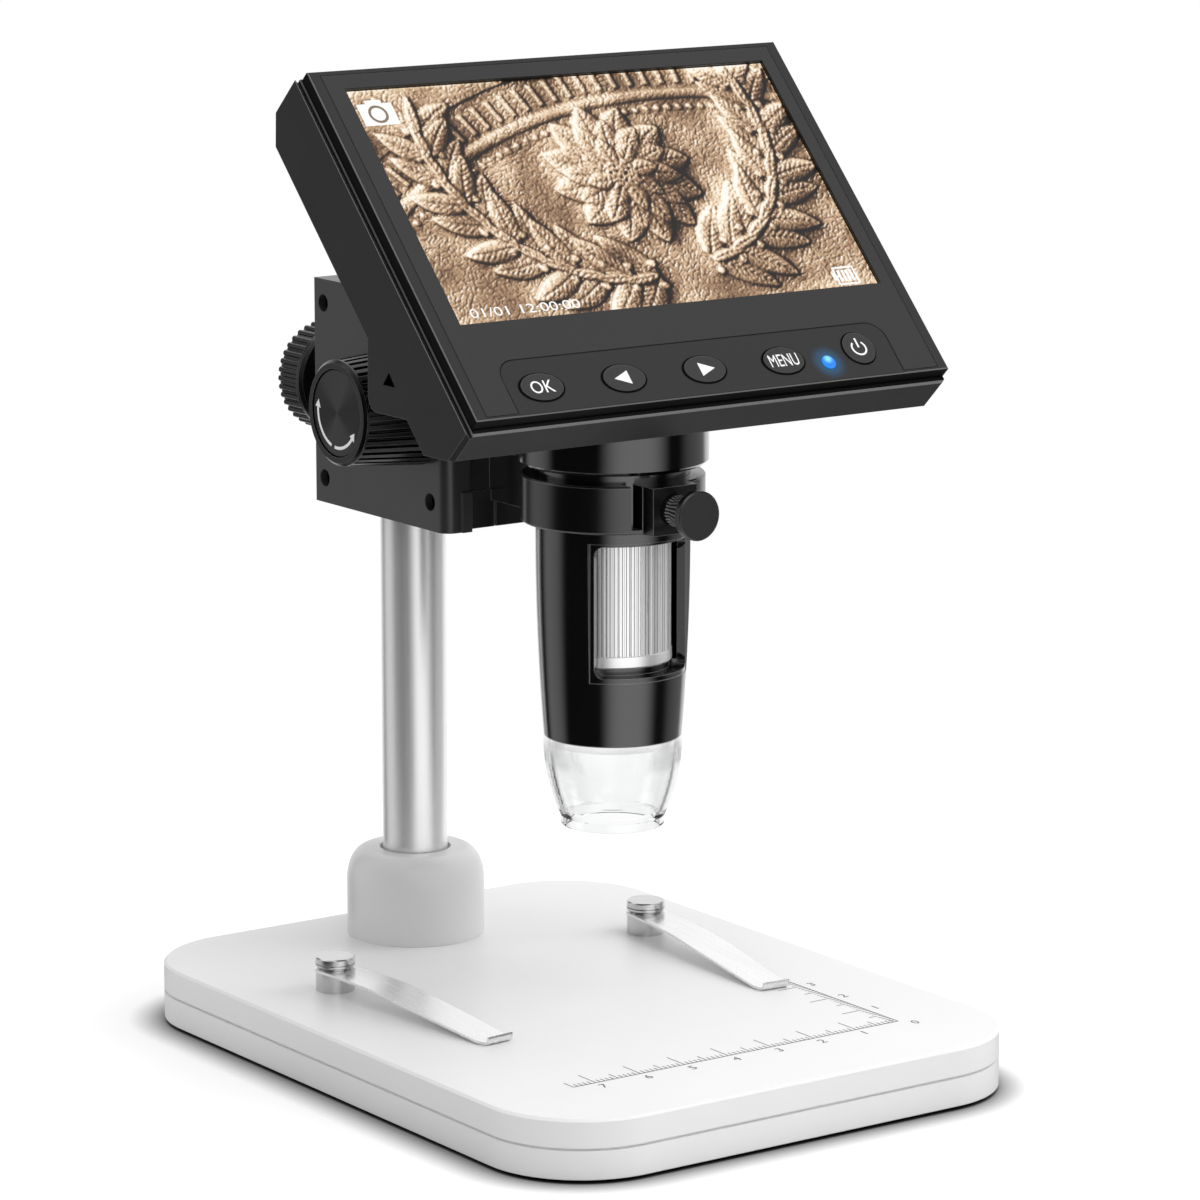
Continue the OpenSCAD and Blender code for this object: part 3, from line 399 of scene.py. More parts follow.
def rib_mask(tree, middle, count, low, high):
    """1 on the crests of ribs round a screw that lies along Y, between two places along it."""
    x, y, z = split(tree, vectors(tree, "SUBTRACT", own_place(tree), middle))
    crest = ramp(tree, marks_round(tree, x, z, count), 0.26, 0.14)
    return maths(tree, "MULTIPLY", crest, within(tree, along_y(tree), low, high))


def neck_mask(tree, middle):
    """1 on the round neck under the housing."""
    x, y, z = split(tree, own_place(tree))
    level = add(tree, "CombineXYZ", {0: x, 1: y}).outputs[0]
    off = vectors(tree, "DISTANCE", level, (middle.x, middle.y, 0))
    return maths(tree, "MULTIPLY", within(tree, off, 0, NECK_RADIUS), within(tree, z, 0, NECK_TOP))


def display_place(tree, centre=DISPLAY_AT, unit=(1, 1, 1)):
    """Where a point is from a centre on the display, along u, v and n and in the given units."""
    return add(tree, "Mapping", {
        "Vector": own_place(tree), "Location": centre, "Rotation": (DISPLAY_TURN, 0, 0), "Scale": unit},
        vector_type="TEXTURE").outputs[0]


def layer_mask(tree, low, high):
    """1 between two heights in mm out of the display's face."""
    return within(tree, split(tree, display_place(tree))[2], low * MM, high * MM)


def oval_mask(tree, node, close, far):
    """1 within a close distance round a key's outline, falling smoothly to 0 at a far one."""
    spots = np.array([DISPLAY.inverted() @ v.co for v in NODES[node].data.vertices])
    low, high = spots.min(axis=0), spots.max(axis=0)
    u, v, _ = (low + high) / 2
    half = (high - low) / 2
    own = display_place(tree, on_display(u, v, PANEL_N).translation, (half[0], half[1], 1.0))
    return ramp(tree, vectors(tree, "LENGTH", own), 1 + far / half[1], 1 + close / half[1], smooth=True)


def nearness(tree, place, far, close):
    """1 within a close distance of a place, falling smoothly to 0 at a far one."""
    return ramp(tree, vectors(tree, "DISTANCE", own_place(tree), place), far, close, smooth=True)


def spun_black(name, middle):
    """Black anodised disc turned on a lathe: rings round X and a sheen that fans out from the middle."""
    material, tree, shader = new_material(name)
    radial = vectors(tree, "MULTIPLY", vectors(tree, "SUBTRACT", own_place(tree), middle), (0, 1, 1))
    rings = maths(tree, "SINE", maths(tree, "MULTIPLY", vectors(tree, "LENGTH", radial), 2 * math.pi / RING_PITCH))
    rim = place_group(tree, rounded_edge, {"Radius": 0.1 * MM})
    feed(tree, shader, {
        "Base Color": scaled(tree, grey(84), spread(tree, rings, 0.85, 1.1)), "Metallic": 1.0,
        "Roughness": 0.42, "Anisotropic": 0.9, "Tangent": radial,
        "Normal": bump(tree, rings, 0.05, 0.02, Normal=rim["Normal"])})
    return material


def lit_picture(name, strength):
    """Backlit display: the picture's own colours under fine scratches, behind a dark sheet."""
    material, tree, shader = new_material(name)
    picture = add(tree, "Attribute", attribute_name="picture", attribute_type="GEOMETRY").outputs["Color"]
    scratches = spread(tree, noise(tree, 3300.0, 3.0, 0.7), 0.72, 1.28)
    feed(tree, shader, {
        "Base Color": (0.01, 0.01, 0.01, 1), "Roughness": 0.35, "Specular IOR Level": 0.2,
        "Emission Color": scaled(tree, picture, scratches), "Emission Strength": strength})
    return material


def clear_plastic(name, colour, roughness, ior):
    """Clear moulding or lens: plain transmission with faint flow lines."""
    material, tree, shader = new_material(name)
    feed(tree, shader, {
        "Base Color": (*colour, 1), "Roughness": roughness, "IOR": ior, "Transmission Weight": 1.0,
        "Normal": bump(tree, noise(tree, 130.0), 0.01, 0.1)})
    return material


def ink(name, colour, specular=0.4):
    """Flat printed ink with a slightly uneven cover."""
    material, tree, shader = new_material(name)
    cover = spread(tree, noise(tree, 2200.0, 3.0), 0.86, 1.0)
    feed(tree, shader, {
        "Base Color": scaled(tree, (*colour,), cover), "Roughness": 0.55, "Specular IOR Level": specular})
    return material


def lit(name, colour, strength, shell, spot=None):
    """A small light behind a tinted lens, with a painted glint of its own colour if wanted."""
    material, tree, shader = new_material(name)
    beam = scaled(tree, colour, spread(tree, noise(tree, 900.0), 0.8, 1.1))
    # painted glint: the spot's colour mixed in near a place on the light
    if spot:
        place, reach, bright = spot
        beam = colour_mix(tree, nearness(tree, place, reach, 0), beam, (*bright, 1))
    feed(tree, shader, {
        "Base Color": (*shell, 1), "Roughness": 0.15, "Emission Color": beam, "Emission Strength": strength})
    return material


def circuit_board(name):
    """Green solder mask with paler traces and a little gloss."""
    material, tree, shader = new_material(name)
    cells = add(tree, "TexVoronoi", {"Vector": own_place(tree), "Scale": 420.0},
                feature="DISTANCE_TO_EDGE", distance="MANHATTAN").outputs["Distance"]
    tint = colour_mix(tree, ramp(tree, cells, 0.02, 0.06), (0.05, 0.22, 0.08, 1), (0.01, 0.09, 0.035, 1))
    feed(tree, shader, {"Base Color": tint, "Roughness": 0.35})
    return material


def finish_nodes(material, *names):
    """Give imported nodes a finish."""
    for name in names:
        for slot in NODES[name].material_slots:
            slot.material = material


# ---------- mesh helpers ----------


def in_scene(name, data):
    made = bpy.data.objects.new(name, data)
    bpy.context.scene.collection.objects.link(made)
    return made


def mesh_object(name, mesh_edit, material):
    """Turn a bmesh into an object, and free it."""
    mesh = bpy.data.meshes.new(name)
    mesh_edit.to_mesh(mesh)
    mesh_edit.free()
    mesh.materials.append(material)
    return in_scene(name, mesh)


def piece(name, mesh_edit, body, material):
    """Turn a bmesh into a piece of the model that rides on a body."""
    bmesh.ops.recalc_face_normals(mesh_edit, faces=mesh_edit.faces)
    made = mesh_object(name, mesh_edit, material)
    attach(made, body)
    return made


def lettering(words, height, width=None):
    """Words as flat faces centred on the origin, with capitals of the given height."""
    curve = bpy.data.curves.new("words", "FONT")
    curve.body = words
    curve.align_x = "CENTER"
    curve.resolution_u = 3
    holder = in_scene("words", curve)
    graph = bpy.context.evaluated_depsgraph_get()
    mesh = bpy.data.meshes.new_from_object(holder.evaluated_get(graph))
    made = bmesh.new()
    made.from_mesh(mesh)
    bpy.data.objects.remove(holder)
    bpy.data.curves.remove(curve)
    bpy.data.meshes.remove(mesh)
    bmesh.ops.remove_doubles(made, verts=made.verts, dist=1e-5)
    across, up = zip(*(v.co.xy for v in made.verts))
    left, right, low, high = min(across), max(across), min(up), max(up)
    bmesh.ops.translate(made, verts=made.verts, vec=(-(left + right) / 2, -(low + high) / 2, 0))
    size = height / (high - low)
    wide = width / (right - left) if width else size
    bmesh.ops.scale(made, verts=made.verts, vec=(wide, size, size))
    return made


def join(target, other, matrix=Matrix.Identity(4)):
    """Add another bmesh to a bmesh at a place, and free it."""
    bmesh.ops.transform(other, matrix=matrix, verts=other.verts)
    mesh = bpy.data.meshes.new("joined")
    other.to_mesh(mesh)
    other.free()
    target.from_mesh(mesh)
    bpy.data.meshes.remove(mesh)


def polar(radius, turn, x=0.0, y=0.0):
    """X and Y of the place at a radius and an angle round a centre."""
    return (x + radius * math.cos(turn), y + radius * math.sin(turn))


def band(target, inner, outer, start, sweep, steps=24):
    """A flat arc band in the XY plane, from an angle through a sweep."""
    ends = [target.verts.new((*polar(radius, start), 0)) for radius in (inner, outer)]
    edge = target.edges.new(ends)
    full = abs(sweep) > 2 * math.pi - 1e-6
    bmesh.ops.spin(
        target, geom=[*ends, edge], cent=(0, 0, 0), axis=(0, 0, 1), angle=sweep, steps=steps,
        use_merge=full, use_duplicate=False)
    bmesh.ops.remove_doubles(target, verts=target.verts, dist=1e-7)


def triangle(target, radius, place, turn=0.0, stretch=(1, 1, 1)):
    """A flat triangle that points along its local X."""
    matrix = (Matrix.Translation((*place, 0)) @ Matrix.Rotation(turn, 4, "Z")
              @ Matrix.Diagonal((*stretch, 1)) @ Matrix.Rotation(-math.pi / 2, 4, "Z"))
    bmesh.ops.create_circle(target, cap_ends=True, segments=3, radius=radius, matrix=matrix)


def bar(target, x0, y0, x1, y1):
    """A flat upright rectangle between two corners."""
    matrix = (Matrix.Translation(((x0 + x1) / 2, (y0 + y1) / 2, 0))
              @ Matrix.Diagonal(((x1 - x0) / 2, (y1 - y0) / 2, 1, 1)))
    bmesh.ops.create_grid(target, x_segments=1, y_segments=1, size=1, matrix=matrix)


def printed(name, flat, place, body, material):
    """Give flat faces the thickness of ink and put them on a surface."""
    grown = bmesh.ops.extrude_face_region(flat, geom=flat.faces[:])
    top = [v for v in grown["geom"] if isinstance(v, bmesh.types.BMVert)]
    bmesh.ops.translate(flat, verts=top, vec=(0, 0, INK))
    bmesh.ops.transform(flat, matrix=place, verts=flat.verts)
    return piece(name, flat, body, material)


def on_display(u, v, n):
    return DISPLAY @ Matrix.Translation((u, v, n))


def middle_of(node):
    low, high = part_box(node)
    return (low + high) / 2


def on_face(node):
    """Place of a node's middle on the display's face, u and v."""
    return (DISPLAY.inverted() @ middle_of(node)).xy


# ---------- the picture on the display ----------

PICTURE_U = 0.5 * MM
PICTURE_WIDTH = 95.04 * MM
PICTURE_HEIGHT = 53.86 * MM
PICTURE_COLUMNS = 400
PICTURE_ROWS = 226
GOLDEN_ANGLE = 2.39996  # turn from one seed of the rosette to the next
# bars of the icons in mm, two corners each: the camera's body and top, then the charge cell and its marks
ICON_BARS = (
    (-45.9, 18.8, -38.4, 23.8), (-43.9, 23.8, -40.4, 24.6), (39.3, -26.2, 44.3, -25.8), (39.3, -22.4, 44.3, -22.0),
    (39.3, -25.8, 39.7, -22.4), (43.9, -25.8, 44.3, -22.4), (38.7, -25.0, 39.3, -23.2), (40.1, -25.4, 40.7, -22.8),
    (41.1, -25.4, 41.7, -22.8), (42.0, -25.4, 42.6, -22.8), (42.9, -25.4, 43.5, -22.8))


def blurred(field, size):
    """A height field smoothed by a round brush of this many cells."""
    rows, columns = field.shape
    squares = np.fft.fftfreq(rows)[:, None] ** 2 + np.fft.rfftfreq(columns)[None, :] ** 2
    return np.fft.irfft2(np.fft.rfft2(field) * np.exp(-2 * (math.pi * size) ** 2 * squares), s=field.shape)


def struck_leaf(field, x, y, foot, turn, length, width, lift):
    """Raise a veined leaf on a height field, from its foot along a direction."""
    over, up = math.cos(turn), math.sin(turn)
    along = ((x - foot[0]) * over + (y - foot[1]) * up) / length
    across = (y - foot[1]) * over - (x - foot[0]) * up - 0.35 * width * along * (1 - along)
    half = width / 2 * np.sin(math.pi * np.clip(along, 0.001, 0.999) ** 0.85) ** 0.7
    inside = 1 - np.abs(across) / np.maximum(half, 0.01)
    edge = np.clip(inside * 2, 0, 1)
    swell = np.sqrt(edge * (2 - edge)) * (0.75 + 0.25 * np.clip(inside, 0, 1))
    veins = 0.35 * np.exp(-(across / 0.28) ** 2) + 0.1 * np.cos(
        2 * math.pi * (along * length * 0.75 - np.abs(across) * 0.8))
    raised = lift + 1.1 * swell - veins * edge
    return np.where((along > 0) & (along < 1) & (inside > 0), np.maximum(field, raised), field)


def struck_bead(field, x, y, middle, radius, lift):
    """Raise a round bead on a height field."""
    away = ((x - middle[0]) ** 2 + (y - middle[1]) ** 2) / radius ** 2
    return np.maximum(field, np.where(away < 1, lift + radius * 0.8 * np.sqrt(np.maximum(0, 1 - away)), -9))


def ridge(inside):
    """Round profile of a raised bar, from 0 at its edge to 1 on its line."""
    inside = np.clip(inside, 0, 1)
    return np.sqrt(inside * (2 - inside))


def bronze_relief(width, height, columns, rows):
    """Colours of a struck bronze relief seen close up: a rosette in a wreath under a toothed rim, in mm."""
    u, v = np.meshgrid(np.linspace(-width / 2, width / 2, columns), np.linspace(-height / 2, height / 2, rows))
    turn = math.radians(-9)
    x = (u - 4) * math.cos(turn) - v * math.sin(turn)
    y = (u - 4) * math.sin(turn) + v * math.cos(turn)
    random = np.random.default_rng(7)
    grit = random.standard_normal(u.shape)
    worms = blurred(grit, 1.5) - blurred(grit, 2.6)
    strokes = np.exp(-(worms / worms.std() / 0.42) ** 2)
    grit = blurred(grit, 0.8)
    grit /= grit.std()
    waves = blurred(random.standard_normal(u.shape), 9)
    waves /= waves.std()
    field = 0.12 * waves

    # rim: a bar, teeth outside it and beads inside it
    rim = 116
    centre = (2, -96)
    away = np.hypot(x - centre[0], y - centre[1])
    field = np.maximum(field, 0.9 * ridge(1 - np.abs(away - rim) / 1.3))
    round_it = np.arctan2(x - centre[0], y - centre[1]) * rim
    tooth = np.clip(1.6 - np.abs(round_it % 3.6 - 1.8) * 2.2, 0, 1) * np.clip((away - rim - 2.2) * 2, 0, 1)
    field = np.maximum(field, 1.1 * ridge(tooth * np.clip((rim + 7.5 - away) * 2, 0, 1)) - 0.05)
    field = np.where(away > rim + 9.5, np.maximum(field, 0.7 + 0.2 * waves), field)
    inner = rim - 3.4
    for k in range(-24, 25):
        turn = k * 2.55 / inner
        field = struck_bead(field, x, y, (centre[0] + inner * math.sin(turn), centre[1] + inner * math.cos(turn)),
                            0.75, 0.1)

    # wreath: two bent twigs with paired leaves and berries
    for side in (-1, 1):
        for k in range(11):
            turn = math.radians(-90 + side * (3 + 10.2 * k))
            foot = polar(33, turn, side * 5, 14)
            heading = turn + side * math.pi / 2
            for out in (1, -1):
                splay = out * side * math.radians(47 + 5 * math.sin(3.1 * k + out))
                field = struck_leaf(field, x, y, foot, heading + splay, 14.0 - 0.3 * k, 6.0 - 0.1 * k,
                                    0.2 + 0.5 * (k % 2) + 0.06 * k)
            field = struck_leaf(field, x, y, foot, heading, 8.5, 2.6, 1.3 + 0.06 * k)
            for out in (1, -1):
                field = struck_bead(field, x, y, polar(2.6, heading + out * 1.5, *foot), 0.95, 1.5)

    # rosette: three rings of petals round a seeded middle
    heart = (0.0, 3.5)
    for ring, (count, inner, length, broad, lift) in enumerate(
            ((12, 6.0, 10.5, 7.2, 0.4), (12, 4.2, 8.8, 5.6, 1.1), (8, 2.4, 6.2, 4.4, 1.8))):
        for k in range(count):
            turn = 2 * math.pi * (k + 0.5 * ring) / count
            petal = polar(inner, turn, *heart)
            field = struck_leaf(field, x, y, petal, turn, length, broad, lift + 0.35 * (k % 2))
    for k in range(40):
        field = struck_bead(field, x, y, polar(0.56 * math.sqrt(k), k * GOLDEN_ANGLE, *heart), 0.62, 2.7)

    # light from the upper left, dark hollows and bright crests
    soft = blurred(field, 0.55)
    hollows = np.clip(soft - blurred(field, 3.2), -1.2, 1.2)
    surface = soft - strokes * (0.2 + 0.07 * np.clip(waves, -1, 1)) + 0.02 * grit
    rise_y, rise_x = np.gradient(1.15 * surface, width / (columns - 1))
    facing = (0.56 * rise_x - 0.42 * rise_y + 0.714) / np.sqrt(1 + rise_x ** 2 + rise_y ** 2)
    swell_y, swell_x = np.gradient(blurred(field, 6), width / (columns - 1))
    sheen = 0.56 * swell_x - 0.42 * swell_y
    tone = (0.56 * facing + 0.5 * np.clip(facing, 0, 1) ** 16 + 0.4 * hollows + 0.05 * waves + 0.9 * sheen
            - 0.1 * strokes)

    # bronze from dark brown to near white, each tone with its share of the picture in percent
    shares = (2, 9, 24, 48, 73, 89, 97)
    bronze = ((14, 7, 4), (50, 32, 20), (110, 81, 57), (164, 131, 101), (211, 180, 146), (247, 226, 197),
              (255, 251, 242))
    steps = np.percentile(tone, shares)
    shown = np.stack([np.interp(tone, steps, [colour[c] / 255 for colour in bronze]) for c in range(3)], axis=-1)
    return np.where(shown <= 0.04045, shown / 12.92, ((shown + 0.055) / 1.055) ** 2.4)


# ---------- pieces ----------


class MICROSCOPE_OT_base(bpy.types.Operator):
    """Finish the base halves, their feet, weight and screws"""

    bl_idname = "microscope.base"
    bl_label = "Base"

    def execute(self, context):
        finishes = context.scene.microscope_finishes
        white = plastic("white_plastic", finishes.white, 0.38, grain=0.5, depth=0.05, edge=0.3, drift=0.02,
                        painted_edge_shading=grey(225))
        finish_nodes(white, "base_top_shell", "base_bottom_plate")
        finish_nodes(plastic("foot_rubber", grey(30), 0.8, grain=0.3, depth=0.4), "base_feet")
        finish_nodes(metal("cast_ballast", grey(120), 0.55, (900, 900, 900), 0.4), "base_weight")
        screw = metal("screw_steel", grey(170), 0.3, (300, 300, 9000))
        finish_nodes(screw, "base_screws", "collar_bolts", "clip_nuts")
        return {"FINISHED"}


class MICROSCOPE_OT_ruler(bpy.types.Operator):
    """Print the millimetre scale on the base"""

    bl_idname = "microscope.ruler"
    bl_label = "Ruler"

    def execute(self, context):
        marks = context.scene.microscope_marks
        low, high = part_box("base_top_shell")
        corner = Vector((marks.ruler_x, low.y + marks.ruler_inset, high.z))
        lines = bmesh.new()
        digits = bmesh.new()
        half_line = 0.12 * MM
        half_tick = 0.1 * MM
        bar(lines, -marks.ruler_length, -half_line, half_line, half_line)
        bar(lines, -half_line, 0, half_line, marks.ruler_depth)
        reach = {0: 5.6 * MM, 5: 3.0 * MM}
        for axis, length in ((0, marks.ruler_length), (1, marks.ruler_depth)):
            for step in range(1, round(length / MM) + 1):
                tick = reach.get(step % 10, 1.5 * MM)
                at = step * MM
                if axis == 0:
                    bar(lines, -at - half_tick, 0, -at + half_tick, tick)
                else:
                    bar(lines, -tick, at - half_tick, 0, at + half_tick)
                if step % 10 == 0:
                    spot = (-at, -2.4 * MM) if axis == 0 else (2.4 * MM, at)
                    join(digits, lettering(str(step // 10), marks.digit), Matrix.Translation((*spot, 0)))
        join(digits, lettering("0", marks.digit), Matrix.Translation((2.3 * MM, -2.3 * MM, 0)))
        join(lines, digits)
        printed("ruler_print", lines, Matrix.Translation(corner), "base",
                ink("ruler_ink", context.scene.microscope_finishes.ruler_ink))
        return {"FINISHED"}


class MICROSCOPE_OT_pole(bpy.types.Operator):
    """Finish the pole, its cap and the white collar"""

    bl_idname = "microscope.pole"
    bl_label = "Pole and collar"

    def execute(self, context):
        finishes = context.scene.microscope_finishes
        finish_nodes(metal("pole_aluminium", grey(250), 0.33, (2600, 2600, 12), 0.08, satin=0.28), "pole_tube")
        finish_nodes(plastic("pole_cap_black", grey(26), 0.5), "pole_cap")
        # the base's white made darker: painted shade on the collar
        white = plastic("collar_white_painted_shade", grey(212), 0.3, grain=0.5, depth=0.04, edge=0.3, drift=0.02, painted_edge_shading=grey(225))
        finish_nodes(white, "pole_collar")
        finish_nodes(metal("screw_black", grey(36), 0.35, (2000, 2000, 2000)), "collar_set_screw")
        return {"FINISHED"}


class MICROSCOPE_OT_clips(bpy.types.Operator):
    """Finish the stage clips, their posts and disc-headed screws"""

    bl_idname = "microscope.clips"
    bl_label = "Stage clips"

    def execute(self, context):
        post = metal("post_steel", grey(208), 0.2, (400, 400, 3000), 0.06, satin=0.05)
        finish_nodes(post, "clip_posts", "clip_screws")
        spring = metal("clip_steel", grey(238), 0.26, (900, 40, 120), 0.0, satin=0.15)
        finish_nodes(spring, "clip_spring_left", "clip_spring_right")
        return {"FINISHED"}


class MICROSCOPE_OT_block(bpy.types.Operator):
    """Finish the focus block, its screws and the lock knob"""

    bl_idname = "microscope.block"
    bl_label = "Focus block"

    def execute(self, context):
        finishes = context.scene.microscope_finishes
        block = plastic("block_black", finishes.block, 0.34, grain=0.3, specular=0.6, painted_edge_shading=grey(85))
        finish_nodes(block, "block_left", "block_right")
        finish_nodes(metal("socket_screw", grey(14), 0.5, (900, 900, 900)), "block_screws")
        finish_nodes(metal("lock_brass", (0.72, 0.5, 0.22), 0.35, (800, 4000, 800)), "lock_nut")
        finish_nodes(plastic("pad_white", grey(225), 0.5), "lock_pad")
        finish_nodes(metal("lock_steel", grey(170), 0.3, (600, 9000, 600)), "lock_screw")
        knob = plastic("lock_knob_black", finishes.knob, 0.24, grain=0.3, depth=0.06, edge=0.14, painted_edge_shading=grey(100))
        finish_nodes(knob, "lock_knob")
        return {"FINISHED"}


class MICROSCOPE_OT_focus_knobs(bpy.types.Operator):
    """Finish the focus knobs, their shaft and pinion, and print the turning arrows on the caps"""

    bl_idname = "microscope.focus_knobs"
    bl_label = "Focus knobs"

    def execute(self, context):
        finishes = context.scene.microscope_finishes
        finish_nodes(plastic("knob_black", finishes.knob, 0.24, grain=0.3, depth=0.06, edge=0.14, specular=0.35,
                             painted_edge_shading=grey(115)), "focus_knob_left", "focus_knob_right")
        finish_nodes(metal("shaft_steel", grey(175), 0.25, (9000, 300, 300)), "focus_shaft")
        finish_nodes(metal("pinion_brass", (0.74, 0.53, 0.25), 0.35, (5000, 600, 600)), "focus_pinion")
        finish_nodes(spun_black("cap_spun", middle_of("focus_cap_left")), "focus_cap_left", "focus_cap_right")
        white = ink("mark_white", finishes.ink)
        for side, name in ((-1, "left"), (1, "right")):
            low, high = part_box("focus_cap_" + name)
            middle = (low + high) / 2
            face = low.x if side < 0 else high.x
            arrows = bmesh.new()
            radius = (high.y - low.y) / 2 - 1.75 * MM
            for start, sweep in ((math.radians(252), math.radians(-80)), (math.radians(262), math.radians(62))):
                arc = bmesh.new()
                # the arc ends at the foot of its arrowhead
                foot = math.copysign(0.55 * MM / radius, sweep)
                band(arc, radius - 0.3 * MM, radius + 0.3 * MM, start, sweep - foot)
                tip = start + sweep
                triangle(arc, 1.05 * MM, polar(radius, tip), tip + math.copysign(math.pi / 2, sweep))
                join(arrows, arc)
            outward = Matrix.Rotation(math.pi / 2, 4, "X") @ Matrix.Rotation(side * math.pi / 2, 4, "Y")
            printed("cap_arrows_" + name, arrows, Matrix.Translation((face, middle.y, middle.z)) @ outward,
                    "focus_drive", white)
        return {"FINISHED"}


class MICROSCOPE_OT_carriage(bpy.types.Operator):
    """Finish the sliding carriage with its clamp ring, the rack and the thumb screw"""

    bl_idname = "microscope.carriage"
    bl_label = "Carriage and clamp"

    def execute(self, context):
        finishes = context.scene.microscope_finishes
        finish_nodes(plastic("carriage_black", finishes.barrel, 0.22, grain=0.3, depth=0.03, edge=0.2, specular=0.9,
                             painted_edge_shading=grey(135)), "carriage")
        finish_nodes(metal("rack_brass", (0.74, 0.53, 0.25), 0.4, (600, 600, 600)), "focus_rack")
        thumb = plastic("thumb_black", grey(12), 0.32, grain=0.2, depth=0.08, edge=0.12, specular=0.8, painted_edge_shading=grey(150))
        tree = thumb.node_tree
        low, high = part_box("thumb_screw")
        # painted highlight on the crests of the ribs, and the disc's outer face a lighter grey
        recolour_masked(thumb, rib_mask(tree, (low + high) / 2, 28, low.y + THUMB_DISC, high.y), grey(130), 0.3)
        recolour_masked(thumb, within(tree, along_y(tree), low.y - MM, low.y + 0.08 * MM), grey(33), 0.32)
        finish_nodes(thumb, "thumb_screw")
        return {"FINISHED"}


class MICROSCOPE_OT_barrel(bpy.types.Operator):
    """Finish the gloss barrel and the sensor and lights inside it"""

    bl_idname = "microscope.barrel"
    bl_label = "Barrel"

    def execute(self, context):
        finishes = context.scene.microscope_finishes
        finish_nodes(plastic("barrel_black", finishes.barrel, 0.16, grain=1.5, depth=0.015, edge=0.2, specular=1.0,
                             coat=0.5, painted_edge_shading=grey(125)), "barrel_shell")
        finish_nodes(plastic("inner_black", grey(26), 0.6), "sensor_mount", "lens_carrier")
        finish_nodes(circuit_board("board_green"), "sensor_board", "key_board", "main_board")
        finish_nodes(plastic("board_white", grey(225), 0.5), "light_ring")
        finish_nodes(plastic("flex_amber", (0.55, 0.24, 0.04), 0.35), "sensor_flex")
        finish_nodes(lit("ring_lights_cream", (1.0, 0.97, 0.88), 0.25, (0.9, 0.85, 0.6)), "ring_lights")
        finish_nodes(clear_plastic("lens_glass", (0.93, 0.96, 1.0), 0.0, 1.6), "lens_glass")
        return {"FINISHED"}


class MICROSCOPE_OT_focus_wheel(bpy.types.Operator):
    """Finish the fluted metal focus wheel"""

    bl_idname = "microscope.focus_wheel"
    bl_label = "Focus wheel"

    def execute(self, context):
        silver = metal("wheel_silver", grey(252), 0.3, (900, 900, 60), 0.0, edge=0.05, satin=0.35)
        # painted shade in the grooves of the flutes
        fluted(silver, middle_of("focus_wheel"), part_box("focus_wheel")[0].z + WHEEL_FOOT)
        finish_nodes(silver, "focus_wheel")
        return {"FINISHED"}


class MICROSCOPE_OT_shroud(bpy.types.Operator):
    """Finish the clear shroud"""

    bl_idname = "microscope.shroud"
    bl_label = "Clear shroud"

    def execute(self, context):
        clear = clear_plastic("shroud_clear", (0.965, 0.97, 0.97), 0.02, 1.4)
        tree = clear.node_tree
        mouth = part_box("barrel_shell")[0].z
        # it fades out towards the mouth of the barrel
        shown = ramp(tree, split(tree, own_place(tree))[2], mouth - 6 * MM, mouth - 0.5 * MM, 1.0, 0.1)
        feed(tree, shader_of(clear), {"Alpha": shown})
        finish_nodes(clear, "clear_shroud")
        return {"FINISHED"}


class MICROSCOPE_OT_housing(bpy.types.Operator):
    """Finish the rear housing with its sockets and screws, and what it holds"""

    bl_idname = "microscope.housing"
    bl_label = "Rear housing"

    def execute(self, context):
        finishes = context.scene.microscope_finishes
        case = plastic("case_black", finishes.case, 0.46, grain=0.3, depth=0.12, specular=0.18, painted_edge_shading=grey(115))
        tree = case.node_tree
        # painted highlight on the bevel, painted shade in the gap behind the frame, and the gloss neck
        recolour_masked(case, layer_mask(tree, FRAME_N - BEVEL - 0.25, FRAME_N - 0.4), grey(118), 0.4)
        recolour_masked(case, layer_mask(tree, FRAME_N - 0.4, 9), grey(3), 0.5)
        recolour_masked(case, neck_mask(tree, middle_of("barrel_shell")), finishes.barrel, 0.18, coat=True)
        finish_nodes(case, "rear_housing")
        finish_nodes(metal("case_screw_black", grey(40), 0.4, (900, 900, 900)), "case_screws")
        finish_nodes(metal("socket_steel", grey(190), 0.3, (900, 900, 900)), "usb_socket", "card_socket")
        finish_nodes(metal("bracket_steel", grey(180), 0.35, (60, 3000, 3000)), "display_bracket")
        finish_nodes(plastic("battery_grey", grey(150), 0.5), "battery")
        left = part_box("rear_housing")[0].x
        mark = bmesh.new()
        triangle(mark, 1.6 * MM, (0, 0), math.pi / 2, (1, 1.4, 1))
        side = Matrix.Rotation(math.pi / 2, 4, "X") @ Matrix.Rotation(-math.pi / 2, 4, "Y")
        printed("side_mark", mark, Matrix.Translation((left, *SIDE_MARK_YZ)) @ side, "head",
                ink("mark_dark", grey(1), 0.0))
        return {"FINISHED"}


